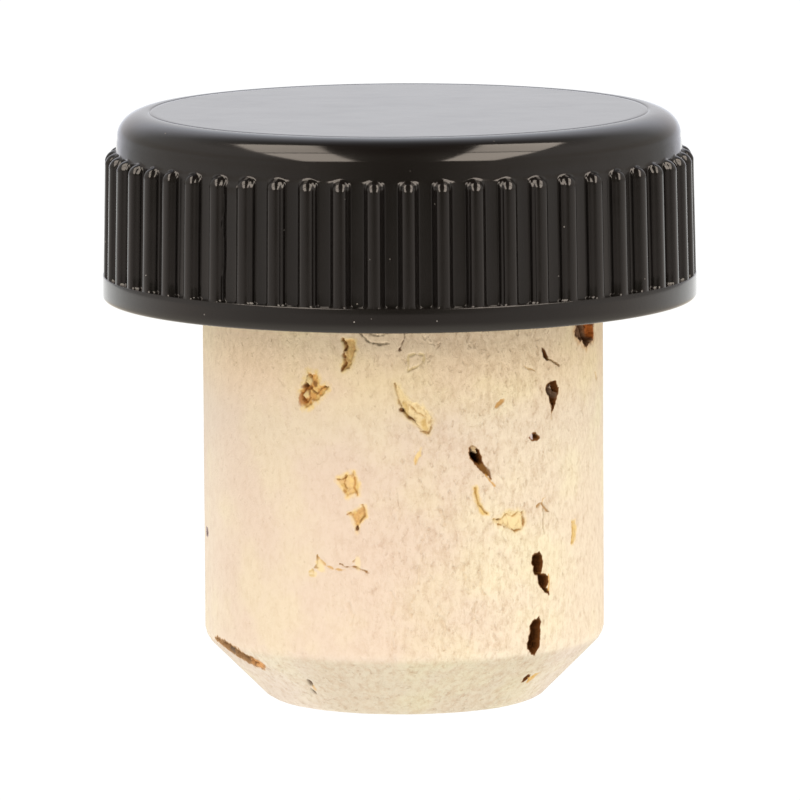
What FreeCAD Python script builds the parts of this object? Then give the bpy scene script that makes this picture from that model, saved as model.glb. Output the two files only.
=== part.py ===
import FreeCAD, Part
import math
import os
from FreeCAD import Vector

# Bottle stopper: a ribbed plastic head moulded in one piece, on a natural cork shank.
# Millimetres and degrees. The origin is the centre of the face that the stopper stands
# on, under the head's axis, and +Z runs up that axis. Angles go round from the front
# (-Y) towards the right (+X).

# Shank of natural cork, for a bottle neck of 18.5 mm bore
CORK_RADIUS = 9.75
CORK_SHOWN = 19.6  # from the standing face up to the head's rim
CORK_CHAMFER = 3.15  # 45 degrees, ground at the lower end
CORK_INSIDE_HEAD = 1.6  # goes on up inside the head's collar
CORK_TOP_TAPER = 0.3  # radial, over that length, to enter the collar
CORK_OFF_CENTRE = 0.15  # glued in slightly to the right of the head's axis

# Head: outer form
HEAD_HEIGHT = 9.1  # rim to top face
HEAD_OVERHANG = 3.98  # from the shank to the wall between the ribs, at its top
DRAFT = 1.2  # every outer wall opens downwards by this angle
SHOULDER_ROUND = 1.3  # radius between top face and wall
BAND_HEIGHT = 1.2  # plain band below the ribs
BAND_PROUD = 0.02  # band beyond the foot of the rib crests
RIM_BEVEL = 0.32  # lower edge of the band

# Grip ribs: drafted with the wall, each with a crest rounded in flats and a pointed upper end
RIB_COUNT = 54
RIB_FLATS = 5
RIB_RADIUS = 0.385
RIB_HEIGHT = 0.54  # crest above the wall
RIB_POINT = 0.7  # length of the pointed end
RIB_BELOW_SHOULDER = 0.4
RIB_FIRST = 1.75  # the rib next to the front
RIB_ROOT = 0.2  # carried down into the band

# Head: cored-out underside
TOP_PLATE = 2.0
SKIRT_WALL = 1.5  # at the foot of the shoulder
COLLAR_WALL = 1.3
COLLAR_CLEARANCE = 0.25  # radial, round the off-centre shank
RING_MID_RADIUS = 6.6
RING_WALL = 1.3
WEB_COUNT = 8
WEB_WALL = 1.2
WEB_RECESS = 0.8  # webs between collar and skirt stay above the rim
JOIN = 0.4  # how far webs and tubes run into the wall that carries them

# Barbed stem, glued into a blind hole in the shank
STEM_RADIUS = 3.5
STEM_LENGTH = 10.0  # below the shank's top face
STEM_CORE_RADIUS = 1.4
STEM_TIP_BEVEL = 0.6
BARB_COUNT = 3
BARB_RISE = 0.35
BARB_LENGTH = 1.6
BARB_PITCH = 2.7
BARB_CLEARANCE = 0.05  # radial, from the barbs to the wall of the hole
HOLE_END_GAP = 0.5  # below the stem's tip

# Pores and breaks deeper than 0.4 mm: angle round the shank, height, half-width,
# half-height, depth, and lean of the long way from upright towards the right
PORES = [
    (21.7, 12.85, 0.26, 0.85, 0.75, 22),
    (47.3, 15.7, 0.3, 0.72, 0.7, -10),
    (47.5, 17.45, 0.17, 0.6, 0.45, -65),
    (64.0, 18.4, 0.55, 0.85, 0.6, -55),
    (41.3, 7.45, 0.34, 0.6, 0.75, 8),
    (44.8, 6.35, 0.3, 0.48, 0.65, -35),
    (39.9, 4.05, 0.36, 0.9, 0.8, 16),
    (-79.0, 8.4, 0.22, 0.45, 0.45, -40),
]
EDGE_CHIPS = [
    (-69.5, 3.15, 0.85, 0.42, 0.5, 0),
    (-60.5, 2.8, 0.75, 0.5, 0.6, -50),
    (-53.0, 2.45, 0.72, 0.55, 0.6, -65),
]

# Derived levels
RIM_Z = CORK_SHOWN
SEAT_Z = RIM_Z + CORK_INSIDE_HEAD
TOP_Z = RIM_Z + HEAD_HEIGHT
CEILING_Z = TOP_Z - TOP_PLATE
BAND_TOP_Z = RIM_Z + BAND_HEIGHT
SHOULDER_Z = TOP_Z - SHOULDER_ROUND
RIB_TIP_Z = SHOULDER_Z - RIB_BELOW_SHOULDER
STEM_TIP_Z = SEAT_Z - STEM_LENGTH

# Derived radii
WALL_RADIUS = CORK_RADIUS + HEAD_OVERHANG
SKIRT_RADIUS = WALL_RADIUS - SKIRT_WALL
COLLAR_RADIUS = CORK_RADIUS + COLLAR_CLEARANCE

UP = Vector(0, 0, 1)
ORIGIN = Vector(0, 0, 0)


def at(radius, height):
    """A point of a turned outline, in the plane y = 0."""
    return Vector(radius, 0, height)


def lines(*points):
    """Straight edges through the points, in order."""
    return [Part.LineSegment(a, b).toShape() for a, b in zip(points, points[1:])]


def quarter_round(start, corner, end):
    """A circular arc that rounds a square corner, from start to end."""
    pull = 1 - math.sqrt(0.5)
    middle = corner + (start - corner) * pull + (end - corner) * pull
    return Part.Arc(start, middle, end).toShape()


def turned(edges):
    """The solid that a closed outline sweeps round the axis."""
    return Part.Face(Part.Wire(edges)).revolve(ORIGIN, UP, 360)


def tube(inner, outer, bottom, top):
    """A plain tube round the axis."""
    foot, crown = at(inner, bottom), at(inner, top)
    return turned(lines(foot, at(outer, bottom), at(outer, top), crown, foot))


def wall_radius(height, at_shoulder=WALL_RADIUS):
    """Radius of a drafted wall at a height, given its radius at the foot of the shoulder."""
    return at_shoulder + (SHOULDER_Z - height) * math.tan(math.radians(DRAFT))


def placed(shape, angle):
    """The shape, made on +X, turned to an angle round the stopper."""
    shape.rotate(ORIGIN, UP, angle - 90)
    return shape


def shell():
    """Top plate, shoulder, wall and plain band: an open cap without its ribs."""
    band_radius = wall_radius(BAND_TOP_Z) + RIB_HEIGHT + BAND_PROUD
    shoulder_start = at(WALL_RADIUS - SHOULDER_ROUND, TOP_Z)
    shoulder_end = at(WALL_RADIUS, SHOULDER_Z)
    return turned(
        lines(at(0, CEILING_Z), at(0, TOP_Z), shoulder_start)
        + [quarter_round(shoulder_start, at(WALL_RADIUS, TOP_Z), shoulder_end)]
        + lines(
            shoulder_end,
            at(wall_radius(BAND_TOP_Z), BAND_TOP_Z),
            at(band_radius, BAND_TOP_Z),
            at(band_radius, RIM_Z + RIM_BEVEL),
            at(band_radius - RIM_BEVEL, RIM_Z),
            at(wall_radius(RIM_Z, SKIRT_RADIUS), RIM_Z),
            at(wall_radius(CEILING_Z, SKIRT_RADIUS), CEILING_Z),
            at(0, CEILING_Z),
        )
    )


def rib():
    """One grip rib on +X: a drafted bar, cut above to a point that lies on the wall."""
    foot_z = BAND_TOP_Z - RIB_ROOT
    root = wall_radius(foot_z) - JOIN
    centre = at(wall_radius(foot_z) + RIB_HEIGHT - RIB_RADIUS, foot_z)
    turns = [math.pi * (n / RIB_FLATS - 0.5) for n in range(RIB_FLATS + 1)]
    crest = [centre + Vector(math.cos(t), math.sin(t), 0) * RIB_RADIUS for t in turns]
    section = [Vector(root, -RIB_RADIUS, foot_z), *crest, Vector(root, RIB_RADIUS, foot_z)]
    lean = Vector(-math.tan(math.radians(DRAFT)), 0, 1)
    bar = Part.Face(Part.makePolygon(section + section[:1])).extrude(lean * HEAD_HEIGHT)

    tip = at(wall_radius(RIB_TIP_Z), RIB_TIP_Z)
    ridge = Vector(RIB_HEIGHT, 0, -RIB_POINT)
    apex = tip - ridge
    right_eave = Vector(0, RIB_RADIUS, -RIB_POINT) * 2
    left_eave = Vector(0, -RIB_RADIUS, -RIB_POINT) * 2
    down = Vector(0, 0, -HEAD_HEIGHT * 2)
    gable = Part.makePolygon([
        apex, apex + right_eave, apex + right_eave + down, apex + left_eave + down, apex + left_eave, apex
    ])
    return bar.common(Part.Face(gable).extrude(ridge * 3))


def ribs():
    """All grip ribs, evenly round the head."""
    pitch = 360 / RIB_COUNT
    blank = rib()
    return [placed(blank.copy(), RIB_FIRST + n * pitch) for n in range(RIB_COUNT)]


def stem():
    """Barbed stem from the top plate down, solid until its core is cut."""
    head_end = CEILING_Z + JOIN
    points = [
        at(0, STEM_TIP_Z),
        at(STEM_RADIUS - STEM_TIP_BEVEL, STEM_TIP_Z),
        at(STEM_RADIUS, STEM_TIP_Z + STEM_TIP_BEVEL),
    ]
    for n in range(BARB_COUNT):
        foot = STEM_TIP_Z + STEM_TIP_BEVEL + n * BARB_PITCH
        points += [
            at(STEM_RADIUS + BARB_RISE, foot + BARB_LENGTH),
            at(STEM_RADIUS, foot + BARB_LENGTH),
            at(STEM_RADIUS, foot + BARB_PITCH),
        ]
    points += [at(STEM_RADIUS, head_end), at(0, head_end), at(0, STEM_TIP_Z)]
    return turned(lines(*points))


def webs():
    """Radial webs: the shank's top face seats on the inner ones, the outer ones brace the skirt."""
    collar_middle = COLLAR_RADIUS + COLLAR_WALL / 2
    skirt_end = wall_radius(CEILING_Z, SKIRT_RADIUS) + JOIN
    brace_z = RIM_Z + WEB_RECESS
    head_end = CEILING_Z + JOIN
    half = WEB_WALL / 2
    made = []
    for n in range(WEB_COUNT):
        angle = n * 360 / WEB_COUNT
        inner = Part.makeBox(collar_middle, WEB_WALL, head_end - SEAT_Z, Vector(0, -half, SEAT_Z))
        outer = Part.makeBox(
            skirt_end - collar_middle, WEB_WALL, head_end - brace_z, Vector(collar_middle, -half, brace_z)
        )
        made += [placed(inner, angle), placed(outer, angle)]
    return made


def plastic_head():
    """The whole moulding."""
    head_end = CEILING_Z + JOIN
    half_ring = RING_WALL / 2
    collar = tube(COLLAR_RADIUS, COLLAR_RADIUS + COLLAR_WALL, RIM_Z, head_end)
    ring = tube(RING_MID_RADIUS - half_ring, RING_MID_RADIUS + half_ring, SEAT_Z, head_end)
    core = Part.makeCylinder(STEM_CORE_RADIUS, CEILING_Z - STEM_TIP_Z, at(0, STEM_TIP_Z), UP)
    inside = stem().fuse([collar, ring] + webs()).cut(core)
    return shell().fuse([inside] + ribs()).removeSplitter()


def pit(angle, height, half_width, half_height, depth, lean):
    """An almond-shaped pit in the shank's surface, its long way leaning from upright."""
    tip = Vector(0, 0, half_height)
    side = Vector(0, half_width, 0)
    almond = Part.Wire([Part.Arc(tip, side, -tip).toShape(), Part.Arc(-tip, -side, tip).toShape()])
    cutter = Part.Face(almond).extrude(Vector(depth * 2, 0, 0))
    cutter.rotate(ORIGIN, Vector(1, 0, 0), -lean)
    surface = CORK_RADIUS - max(0, CORK_CHAMFER - height)
    cutter.translate(at(surface - depth, height))
    placed(cutter, angle)
    cutter.translate(Vector(CORK_OFF_CENTRE, 0, 0))
    return cutter


def cork_shank():
    """Cork cylinder, chamfered below and tapered in the collar, with its hole, pores and breaks."""
    body = turned(lines(
        at(0, 0),
        at(CORK_RADIUS - CORK_CHAMFER, 0),
        at(CORK_RADIUS, CORK_CHAMFER),
        at(CORK_RADIUS, RIM_Z),
        at(CORK_RADIUS - CORK_TOP_TAPER, SEAT_Z),
        at(0, SEAT_Z),
        at(0, 0),
    ))
    body.translate(Vector(CORK_OFF_CENTRE, 0, 0))
    hole_radius = STEM_RADIUS + BARB_RISE + BARB_CLEARANCE
    hole_end = at(0, STEM_TIP_Z - HOLE_END_GAP)
    hole = Part.makeCylinder(hole_radius, STEM_LENGTH + HOLE_END_GAP, hole_end, UP)
    return body.cut([hole] + [pit(*spot) for spot in PORES + EDGE_CHIPS])


def main():
    os.makedirs("parts", exist_ok=True)
    plastic_head().exportStep("parts/plastic_head.step")
    cork_shank().exportStep("parts/cork_shank.step")


main()
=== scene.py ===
"""Bottle stopper: a ribbed head of black polystyrene on a shank of natural cork.

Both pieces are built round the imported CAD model, in its frame, on a white light table in a
soft-lit studio. Shapes are worked out in millimetres and angles in degrees: heights run up
the stopper's axis, and angles go round it from the front (-Y) towards the right (+X).
"""

import math
import random
from dataclasses import dataclass, field
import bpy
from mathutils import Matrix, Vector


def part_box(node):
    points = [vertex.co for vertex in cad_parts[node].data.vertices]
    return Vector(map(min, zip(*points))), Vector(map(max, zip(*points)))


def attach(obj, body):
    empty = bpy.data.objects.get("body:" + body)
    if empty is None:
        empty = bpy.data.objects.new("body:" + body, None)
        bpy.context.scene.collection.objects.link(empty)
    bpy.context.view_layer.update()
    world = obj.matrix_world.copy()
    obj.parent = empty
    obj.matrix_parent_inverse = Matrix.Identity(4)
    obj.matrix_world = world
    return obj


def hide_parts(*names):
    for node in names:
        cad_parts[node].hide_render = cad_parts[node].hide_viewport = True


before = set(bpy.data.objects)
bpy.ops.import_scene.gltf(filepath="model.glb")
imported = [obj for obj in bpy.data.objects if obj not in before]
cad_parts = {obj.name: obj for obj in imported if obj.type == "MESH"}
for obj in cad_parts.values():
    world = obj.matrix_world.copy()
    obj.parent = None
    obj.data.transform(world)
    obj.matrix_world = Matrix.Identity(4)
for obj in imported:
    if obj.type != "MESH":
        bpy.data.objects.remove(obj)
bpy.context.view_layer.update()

from types import SimpleNamespace

import bpy
from bpy.props import FloatProperty, FloatVectorProperty, IntProperty, PointerProperty
from mathutils import Matrix, Vector, noise

bl_info = {
    "name": "Plastic-top cork stopper",
    "version": (1, 0, 0),
    "blender": (4, 5, 0),
    "location": "3D View > Sidebar > Stopper",
    "description": "Builds a ribbed black bottle stopper with a natural cork shank",
    "category": "Add Mesh",
}

MM = 0.001
HEAD_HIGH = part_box("plastic_head")[1]
CORK_LOW, CORK_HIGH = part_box("cork_shank")


# Small helpers


def linear(hex_colour, alpha=1.0):
    """An sRGB hex colour, such as "#f3e2c4", as the linear RGBA that Blender works in."""
    channels = [int(hex_colour[i:i + 2], 16) / 255 for i in (1, 3, 5)]
    lit = [c / 12.92 if c <= 0.04045 else ((c + 0.055) / 1.055) ** 2.4 for c in channels]
    return (*lit, alpha)


def in_mm(group):
    """A property group's values by name, with its lengths in millimetres."""
    values = {}
    for name, prop in group.bl_rna.properties.items():
        if name not in ("rna_type", "name"):
            value = getattr(group, name)
            values[name] = value / MM if getattr(prop, "unit", "") == "LENGTH" else value
    return SimpleNamespace(**values)


def smooth(low, high, value):
    """0 at low and before it, 1 at high and past it, and an even S between them."""
    t = min(1.0, max(0.0, (value - low) / (high - low)))
    return t * t * (3 - 2 * t)


def mix(a, b, t):
    """Part of the way t from a to b."""
    return a + (b - a) * t


def point_at(angle, radius, height):
    """The point at an angle round the axis, a distance from it and a height."""
    turn = math.radians(angle)
    return (radius * math.sin(turn), -radius * math.cos(turn), height)


def ring(verts, count, radius, height, turn=0.0):
    """Adds an even ring of points and returns their numbers."""
    start = len(verts)
    verts += [point_at(turn + 360 * n / count, radius, height) for n in range(count)]
    return list(range(start, start + count))


def join_rings(faces, first, second):
    """Faces between two closed rings, where the first has a whole number of points for each
    point of the second. The outside is on the right, going along the first ring."""
    ratio = len(first) // len(second)
    for n, here in enumerate(second):
        after = second[(n + 1) % len(second)]
        along = [first[(n * ratio + k) % len(first)] for k in range(ratio + 1)]
        faces.append([*along, after, here])


def close_ring(verts, faces, rim, height):
    """A fan of triangles from a ring to a new point on the axis."""
    middle = sum((Vector(verts[n]) for n in rim), Vector()) / len(rim)
    verts.append((middle.x, middle.y, height))
    centre = len(verts) - 1
    faces += [[a, b, centre] for a, b in zip(rim, rim[1:] + rim[:1])]


def new_piece(name, verts, faces, material, node, sharp_above=None):
    """A smooth-shaded mesh object, from points in millimetres, that stands for a CAD node."""
    mesh = bpy.data.meshes.new(name)
    mesh.from_pydata([Vector(v) * MM for v in verts], [], faces)
    if mesh.validate(verbose=False):
        raise RuntimeError(f"{name} has faces that Blender can't use")
    mesh.shade_smooth()
    if sharp_above is not None:
        mesh.set_sharp_from_angle(angle=math.radians(sharp_above))
    mesh.materials.append(material)
    piece = bpy.data.objects.new(name, mesh)
    bpy.context.scene.collection.objects.link(piece)
    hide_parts(node)
    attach(piece, "root")
    return piece


def socket(sockets, name):
    """The socket with a number, or the one in use that has a name."""
    if isinstance(name, int):
        return sockets[name]
    return next(one for one in sockets if one.name == name and one.enabled)


def add_node(tree, kind, inputs=None, **settings):
    """Adds a node with its settings. Each input is given a value, or a socket to link from."""
    made = tree.nodes.new(kind)
    for name, value in settings.items():
        setattr(made, name, value)
    for name, value in (inputs or {}).items():
        if isinstance(value, bpy.types.NodeSocket):
            tree.links.new(value, socket(made.inputs, name))
        else:
            socket(made.inputs, name).default_value = value
    return made


def set_stops(ramp_node, stops):
    """Gives a colour ramp its stops, each a place and a linear colour."""
    elements = ramp_node.color_ramp.elements
    while len(elements) > 1:
        elements.remove(elements[-1])
    for n, (place, colour) in enumerate(stops):
        element = elements[0] if n == 0 else elements.new(place)
        element.position = place
        element.color = colour


def new_material(name):
    """An empty node material and its tree."""
    material = bpy.data.materials.new(name)
    material.use_nodes = True
    material.node_tree.nodes.clear()
    return material, material.node_tree


# Sizes and colours


class HeadSizes(bpy.types.PropertyGroup):
    """Sizes of the plastic head."""

    rib_count: IntProperty(
        name="Grip ribs", description="Ribs round the head", default=54, min=12, max=120,
    )
    first_rib: FloatProperty(
        name="First rib", description="Angle of the rib nearest to the front",
        default=math.radians(1.75), subtype="ANGLE", unit="ROTATION",
    )
    rib_half_width: FloatProperty(
        name="Rib half-width", description="Half the width of a rib at the foot of its flanks",
        default=0.45 * MM, unit="LENGTH", precision=5,
    )
    rib_height: FloatProperty(
        name="Rib height", description="Crest above the wall", default=0.54 * MM, unit="LENGTH",
        precision=5,
    )
    rib_crown: FloatProperty(
        name="Rib crown", description="Radius across a rib's crest", default=0.8 * MM,
        unit="LENGTH", precision=5,
    )
    rib_edge: FloatProperty(
        name="Rib edge", description="Rounding of a crest's two edges", default=0.19 * MM,
        unit="LENGTH", precision=5,
    )
    rib_fillet: FloatProperty(
        name="Rib fillet", description="Hollow rounding between a rib and the wall",
        default=0.12 * MM, unit="LENGTH", precision=5,
    )
    rib_point: FloatProperty(
        name="Rib point", description="Length of a rib's falling upper end", default=0.7 * MM,
        unit="LENGTH", precision=5,
    )
    rib_tip_height: FloatProperty(
        name="Rib tip height", description="Where the ribs end, above the floor",
        default=HEAD_HIGH.z - 1.7 * MM, unit="LENGTH", precision=5,
    )
    wall_radius: FloatProperty(
        name="Wall radius", description="Wall between the ribs, at the foot of the shoulder",
        default=13.73 * MM, unit="LENGTH", precision=5,
    )
    band_radius: FloatProperty(
        name="Band radius", description="Plain band below the ribs", default=HEAD_HIGH.x,
        unit="LENGTH", precision=5,
    )
    band_height: FloatProperty(
        name="Band height", description="Plain band below the ribs", default=1.2 * MM,
        unit="LENGTH", precision=5,
    )
    rim_round: FloatProperty(
        name="Rim rounding", description="Radius of the band's lower edge", default=0.2 * MM,
        unit="LENGTH", precision=5,
    )
    shoulder_run: FloatProperty(
        name="Shoulder run", description="How far the shoulder reaches in from the wall",
        default=1.455 * MM, unit="LENGTH", precision=5,
    )
    shoulder_drop: FloatProperty(
        name="Shoulder drop", description="How far the shoulder reaches down from the top face",
        default=1.18 * MM, unit="LENGTH", precision=5,
    )
    draft: FloatProperty(
        name="Draft", description="How much the walls open downwards", default=math.radians(1.4),
        subtype="ANGLE", unit="ROTATION",
    )
    colour: FloatVectorProperty(
        name="Polystyrene", description="Colour of the head", default=linear("#12100f")[:3],
        subtype="COLOR", min=0, max=1,
    )


class CorkSizes(bpy.types.PropertyGroup):
    """Sizes of the cork shank."""

    radius: FloatProperty(
        name="Radius", description="Radius of the shank", default=(CORK_HIGH.x - CORK_LOW.x) / 2,
        unit="LENGTH", precision=5,
    )
    off_centre: FloatProperty(
        name="Off centre", description="How far right of the head's axis the shank is glued in",
        default=(CORK_HIGH.x + CORK_LOW.x) / 2, unit="LENGTH", precision=5,
    )
    height: FloatProperty(
        name="Height", description="Whole length, with the part inside the head",
        default=CORK_HIGH.z, unit="LENGTH", precision=5,
    )
    shown: FloatProperty(
        name="Shown", description="Length below the head's rim", default=19.6 * MM, unit="LENGTH",
        precision=5,
    )
    chamfer: FloatProperty(
        name="Chamfer", description="Ground edge at the lower end, at 45 degrees",
        default=3.15 * MM, unit="LENGTH", precision=5,
    )
    hole_radius: FloatProperty(
        name="Hole radius", description="Blind hole for the head's stem", default=3.9 * MM,
        unit="LENGTH", precision=5,
    )
    hole_end: FloatProperty(
        name="Hole end", description="Height of the hole's end above the floor", default=10.7 * MM,
        unit="LENGTH", precision=5,
    )
    colour: FloatVectorProperty(
        name="Cork", description="Main colour of the cork", default=linear("#c0b1a0")[:3],
        subtype="COLOR", min=0, max=1,
    )


class StudioSizes(bpy.types.PropertyGroup):
    """Camera and lights."""

    distance: FloatProperty(
        name="Camera distance", description="From the camera to its aim", default=0.5,
        unit="LENGTH",
    )
    pitch: FloatProperty(
        name="Camera pitch", description="How far the camera looks down",
        default=math.radians(7.774), subtype="ANGLE", unit="ROTATION",
    )
    roll: FloatProperty(
        name="Camera roll", description="How far the camera is turned about its line of sight",
        default=math.radians(-0.305), subtype="ANGLE", unit="ROTATION",
    )
    lens: FloatProperty(
        name="Lens", description="Focal length in millimetres on a 36 mm sensor", default=462.04,
    )
    aim: FloatVectorProperty(
        name="Aim", description="Point at the middle of the picture",
        default=(-0.017 * MM, 0, 14.494 * MM), unit="LENGTH", precision=6,
    )
    floor_radius: FloatProperty(
        name="Table radius", description="Radius of the round light table", default=0.29,
        unit="LENGTH",
    )
    softbox_radiance: FloatProperty(
        name="Softbox radiance",
        description="Brightness of the softboxes beside white paper in full light", default=4.8,
    )


# Finishes


def gloss_black_polystyrene(colour):
    """Polystyrene coloured through with carbon black and moulded against a polished steel
    tool: sharp reflections over almost no colour of its own, so the eye sees the studio in
    it, bent by a faint waviness, with a few specks of dust."""
    material, tree = new_material("gloss_black_polystyrene")
    place = add_node(tree, "ShaderNodeTexCoord").outputs["Object"]
    in_millimetres = add_node(
        tree, "ShaderNodeVectorMath", {0: place, "Scale": 1 / MM}, operation="SCALE",
    ).outputs["Vector"]

    # Dust specks of 0.04 to 0.09 mm, about one to 17 square millimetres: dots in the middle of
    # 1 mm cells, each as bright as its cell's own random number says
    dust_cells = add_node(tree, "ShaderNodeTexVoronoi", {"Vector": in_millimetres, "Scale": 1.0})
    dust_dot = add_node(
        tree, "ShaderNodeMapRange",
        {
            "Value": dust_cells.outputs["Distance"], "From Min": 0.02, "From Max": 0.045,
            "To Min": 1.0, "To Max": 0.0,
        },
    )
    dust_random = add_node(tree, "ShaderNodeSeparateColor", {"Color": dust_cells.outputs["Color"]})
    dust_bright = add_node(
        tree, "ShaderNodeMapRange",
        {
            "Value": dust_random.outputs["Red"], "From Min": 0.35, "From Max": 0.95, "To Min": 0.0,
            "To Max": 1.0,
        },
    )
    dust = add_node(
        tree, "ShaderNodeMath", {0: dust_dot.outputs[0], 1: dust_bright.outputs[0]},
        operation="MULTIPLY",
    ).outputs[0]
    colours = add_node(
        tree, "ShaderNodeMix",
        {"Factor": dust, "A": (*colour, 1), "B": linear("#8d8983")},
        data_type="RGBA",
    )

    # Slow waviness of the moulding, about 2 mm from crest to crest, and haze in patches
    waves = add_node(
        tree, "ShaderNodeTexNoise", {"Vector": in_millimetres, "Scale": 0.5, "Detail": 2.0},
    )
    haze = add_node(
        tree, "ShaderNodeTexNoise", {"Vector": in_millimetres, "Scale": 0.4, "Detail": 3.0},
    )
    roughness = add_node(
        tree, "ShaderNodeMapRange",
        {
            "Value": haze.outputs["Fac"], "From Min": 0.3, "From Max": 0.7, "To Min": 0.08,
            "To Max": 0.14,
        },
    )
    dusty_roughness = add_node(
        tree, "ShaderNodeMath", {0: roughness.outputs[0], 1: dust}, operation="MAXIMUM",
    )
    bump = add_node(
        tree, "ShaderNodeBump",
        {"Height": waves.outputs["Fac"], "Strength": 1.0, "Distance": 0.006 * MM},
    )
    shader = add_node(
        tree, "ShaderNodeBsdfPrincipled",
        {
            "Base Color": socket(colours.outputs, "Result"),
            "Roughness": dusty_roughness.outputs[0],
            "Normal": bump.outputs["Normal"],
            "IOR": 1.5,
            "Metallic": 0.0,
        },
    )
    add_node(tree, "ShaderNodeOutputMaterial", {"Surface": shader.outputs["BSDF"]})
    return material


def ground_natural_cork(colour):
    """Natural cork punched from the bark and ground to size: dull, cream with pinkish and
    yellowish clouds, torn grain and fine upright fibres. Its tone, which holds painted light
    below the head and at the sides, and the colours of its lenticels are kept on the mesh,
    because each lenticel has its own shape."""
    material, tree = new_material("ground_natural_cork")
    place = add_node(tree, "ShaderNodeTexCoord").outputs["Object"]
    in_millimetres = add_node(
        tree, "ShaderNodeVectorMath", {0: place, "Scale": 1 / MM}, operation="SCALE",
    ).outputs["Vector"]
    taller = add_node(
        tree, "ShaderNodeVectorMath", {0: in_millimetres, 1: (1, 1, 0.6)}, operation="MULTIPLY",
    ).outputs["Vector"]
    along_grain = add_node(
        tree, "ShaderNodeVectorMath", {0: in_millimetres, 1: (1, 1, 0.4)}, operation="MULTIPLY",
    ).outputs["Vector"]

    # Clouds of 4 mm between a pinkish and a yellowish cream
    clouds = add_node(
        tree, "ShaderNodeTexNoise", {"Vector": in_millimetres, "Scale": 0.26, "Detail": 4.0},
    )
    cloud_ramp = add_node(tree, "ShaderNodeValToRGB", {"Fac": clouds.outputs["Fac"]})
    pinkish, yellowish = linear("#bfaf9f"), linear("#c2b59f")
    set_stops(cloud_ramp, [(0.36, pinkish), (0.5, (*colour, 1)), (0.64, yellowish)])
    # The tone from the mesh is multiplied in. It holds painted light below the head and at the
    # sides.
    tone = add_node(tree, "ShaderNodeAttribute", attribute_name="tone").outputs["Color"]
    toned = add_node(
        tree, "ShaderNodeMix", {"Factor": 1.0, "A": cloud_ramp.outputs["Color"], "B": tone},
        data_type="RGBA", blend_type="MULTIPLY",
    )

    # The cork's cells, 0.04 mm across, are too fine to show, so this grain is drawn as clumps
    # of them, 0.35 mm and less, a little taller than wide. Over it lie open pits of 0.25 mm,
    # wrinkles, where a slow noise passes its middle value, and upright fibres 0.1 mm wide.
    clumps = add_node(
        tree, "ShaderNodeTexNoise",
        {"Vector": taller, "Scale": 2.9, "Detail": 5.0, "Roughness": 0.72},
    ).outputs["Fac"]
    pit_noise = add_node(
        tree, "ShaderNodeTexNoise", {"Vector": taller, "Scale": 4.2, "Detail": 2.0},
    )
    pits = add_node(
        tree, "ShaderNodeMapRange",
        {
            "Value": pit_noise.outputs["Fac"], "From Min": 0.6, "From Max": 0.72, "To Min": 0.0,
            "To Max": 1.0,
        },
    ).outputs[0]
    fold_noise = add_node(
        tree, "ShaderNodeTexNoise",
        {"Vector": taller, "Scale": 1.3, "Detail": 5.0, "Roughness": 0.62},
    )
    beside_fold = add_node(
        tree, "ShaderNodeMath", {0: fold_noise.outputs["Fac"], 1: 0.5}, operation="SUBTRACT",
    )
    from_fold = add_node(tree, "ShaderNodeMath", {0: beside_fold.outputs[0]}, operation="ABSOLUTE")
    wrinkles = add_node(
        tree, "ShaderNodeMapRange",
        {
            "Value": from_fold.outputs[0], "From Min": 0.0, "From Max": 0.03, "To Min": 1.0,
            "To Max": 0.0,
        },
    ).outputs[0]
    fibres = add_node(
        tree, "ShaderNodeTexNoise", {"Vector": along_grain, "Scale": 9.0, "Detail": 2.0},
    ).outputs["Fac"]

    # How dark each makes the cork, more where it is torn or fibrous, which the mesh says
    torn = add_node(tree, "ShaderNodeAttribute", attribute_name="torn").outputs["Fac"]
    fibrous = add_node(tree, "ShaderNodeAttribute", attribute_name="fibrous").outputs["Fac"]
    clump_shade = add_node(
        tree, "ShaderNodeMapRange",
        {"Value": clumps, "From Min": 0.56, "From Max": 0.3, "To Min": 0.0, "To Max": 0.5},
    ).outputs[0]
    with_pits = add_node(
        tree, "ShaderNodeMath", {0: pits, 1: 0.26, 2: clump_shade}, operation="MULTIPLY_ADD",
    ).outputs[0]
    with_wrinkles = add_node(
        tree, "ShaderNodeMath", {0: wrinkles, 1: 0.07, 2: with_pits}, operation="MULTIPLY_ADD",
    ).outputs[0]
    torn_shade = add_node(
        tree, "ShaderNodeMath", {0: with_wrinkles, 1: torn}, operation="MULTIPLY",
    ).outputs[0]
    fibre_dark = add_node(
        tree, "ShaderNodeMapRange",
        {"Value": fibres, "From Min": 0.52, "From Max": 0.3, "To Min": 0.0, "To Max": 0.24},
    ).outputs[0]
    shade = add_node(
        tree, "ShaderNodeMath", {0: fibre_dark, 1: fibrous, 2: torn_shade},
        operation="MULTIPLY_ADD",
    ).outputs[0]
    grained = add_node(
        tree, "ShaderNodeMix",
        {"Factor": shade, "A": socket(toned.outputs, "Result"), "B": linear("#8c6640")},
        data_type="RGBA",
    )

    lenticels = add_node(tree, "ShaderNodeAttribute", attribute_name="lenticel")
    finished = add_node(
        tree, "ShaderNodeMix",
        {
            "Factor": lenticels.outputs["Alpha"], "A": socket(grained.outputs, "Result"),
            "B": lenticels.outputs["Color"],
        },
        data_type="RGBA",
    )

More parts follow.
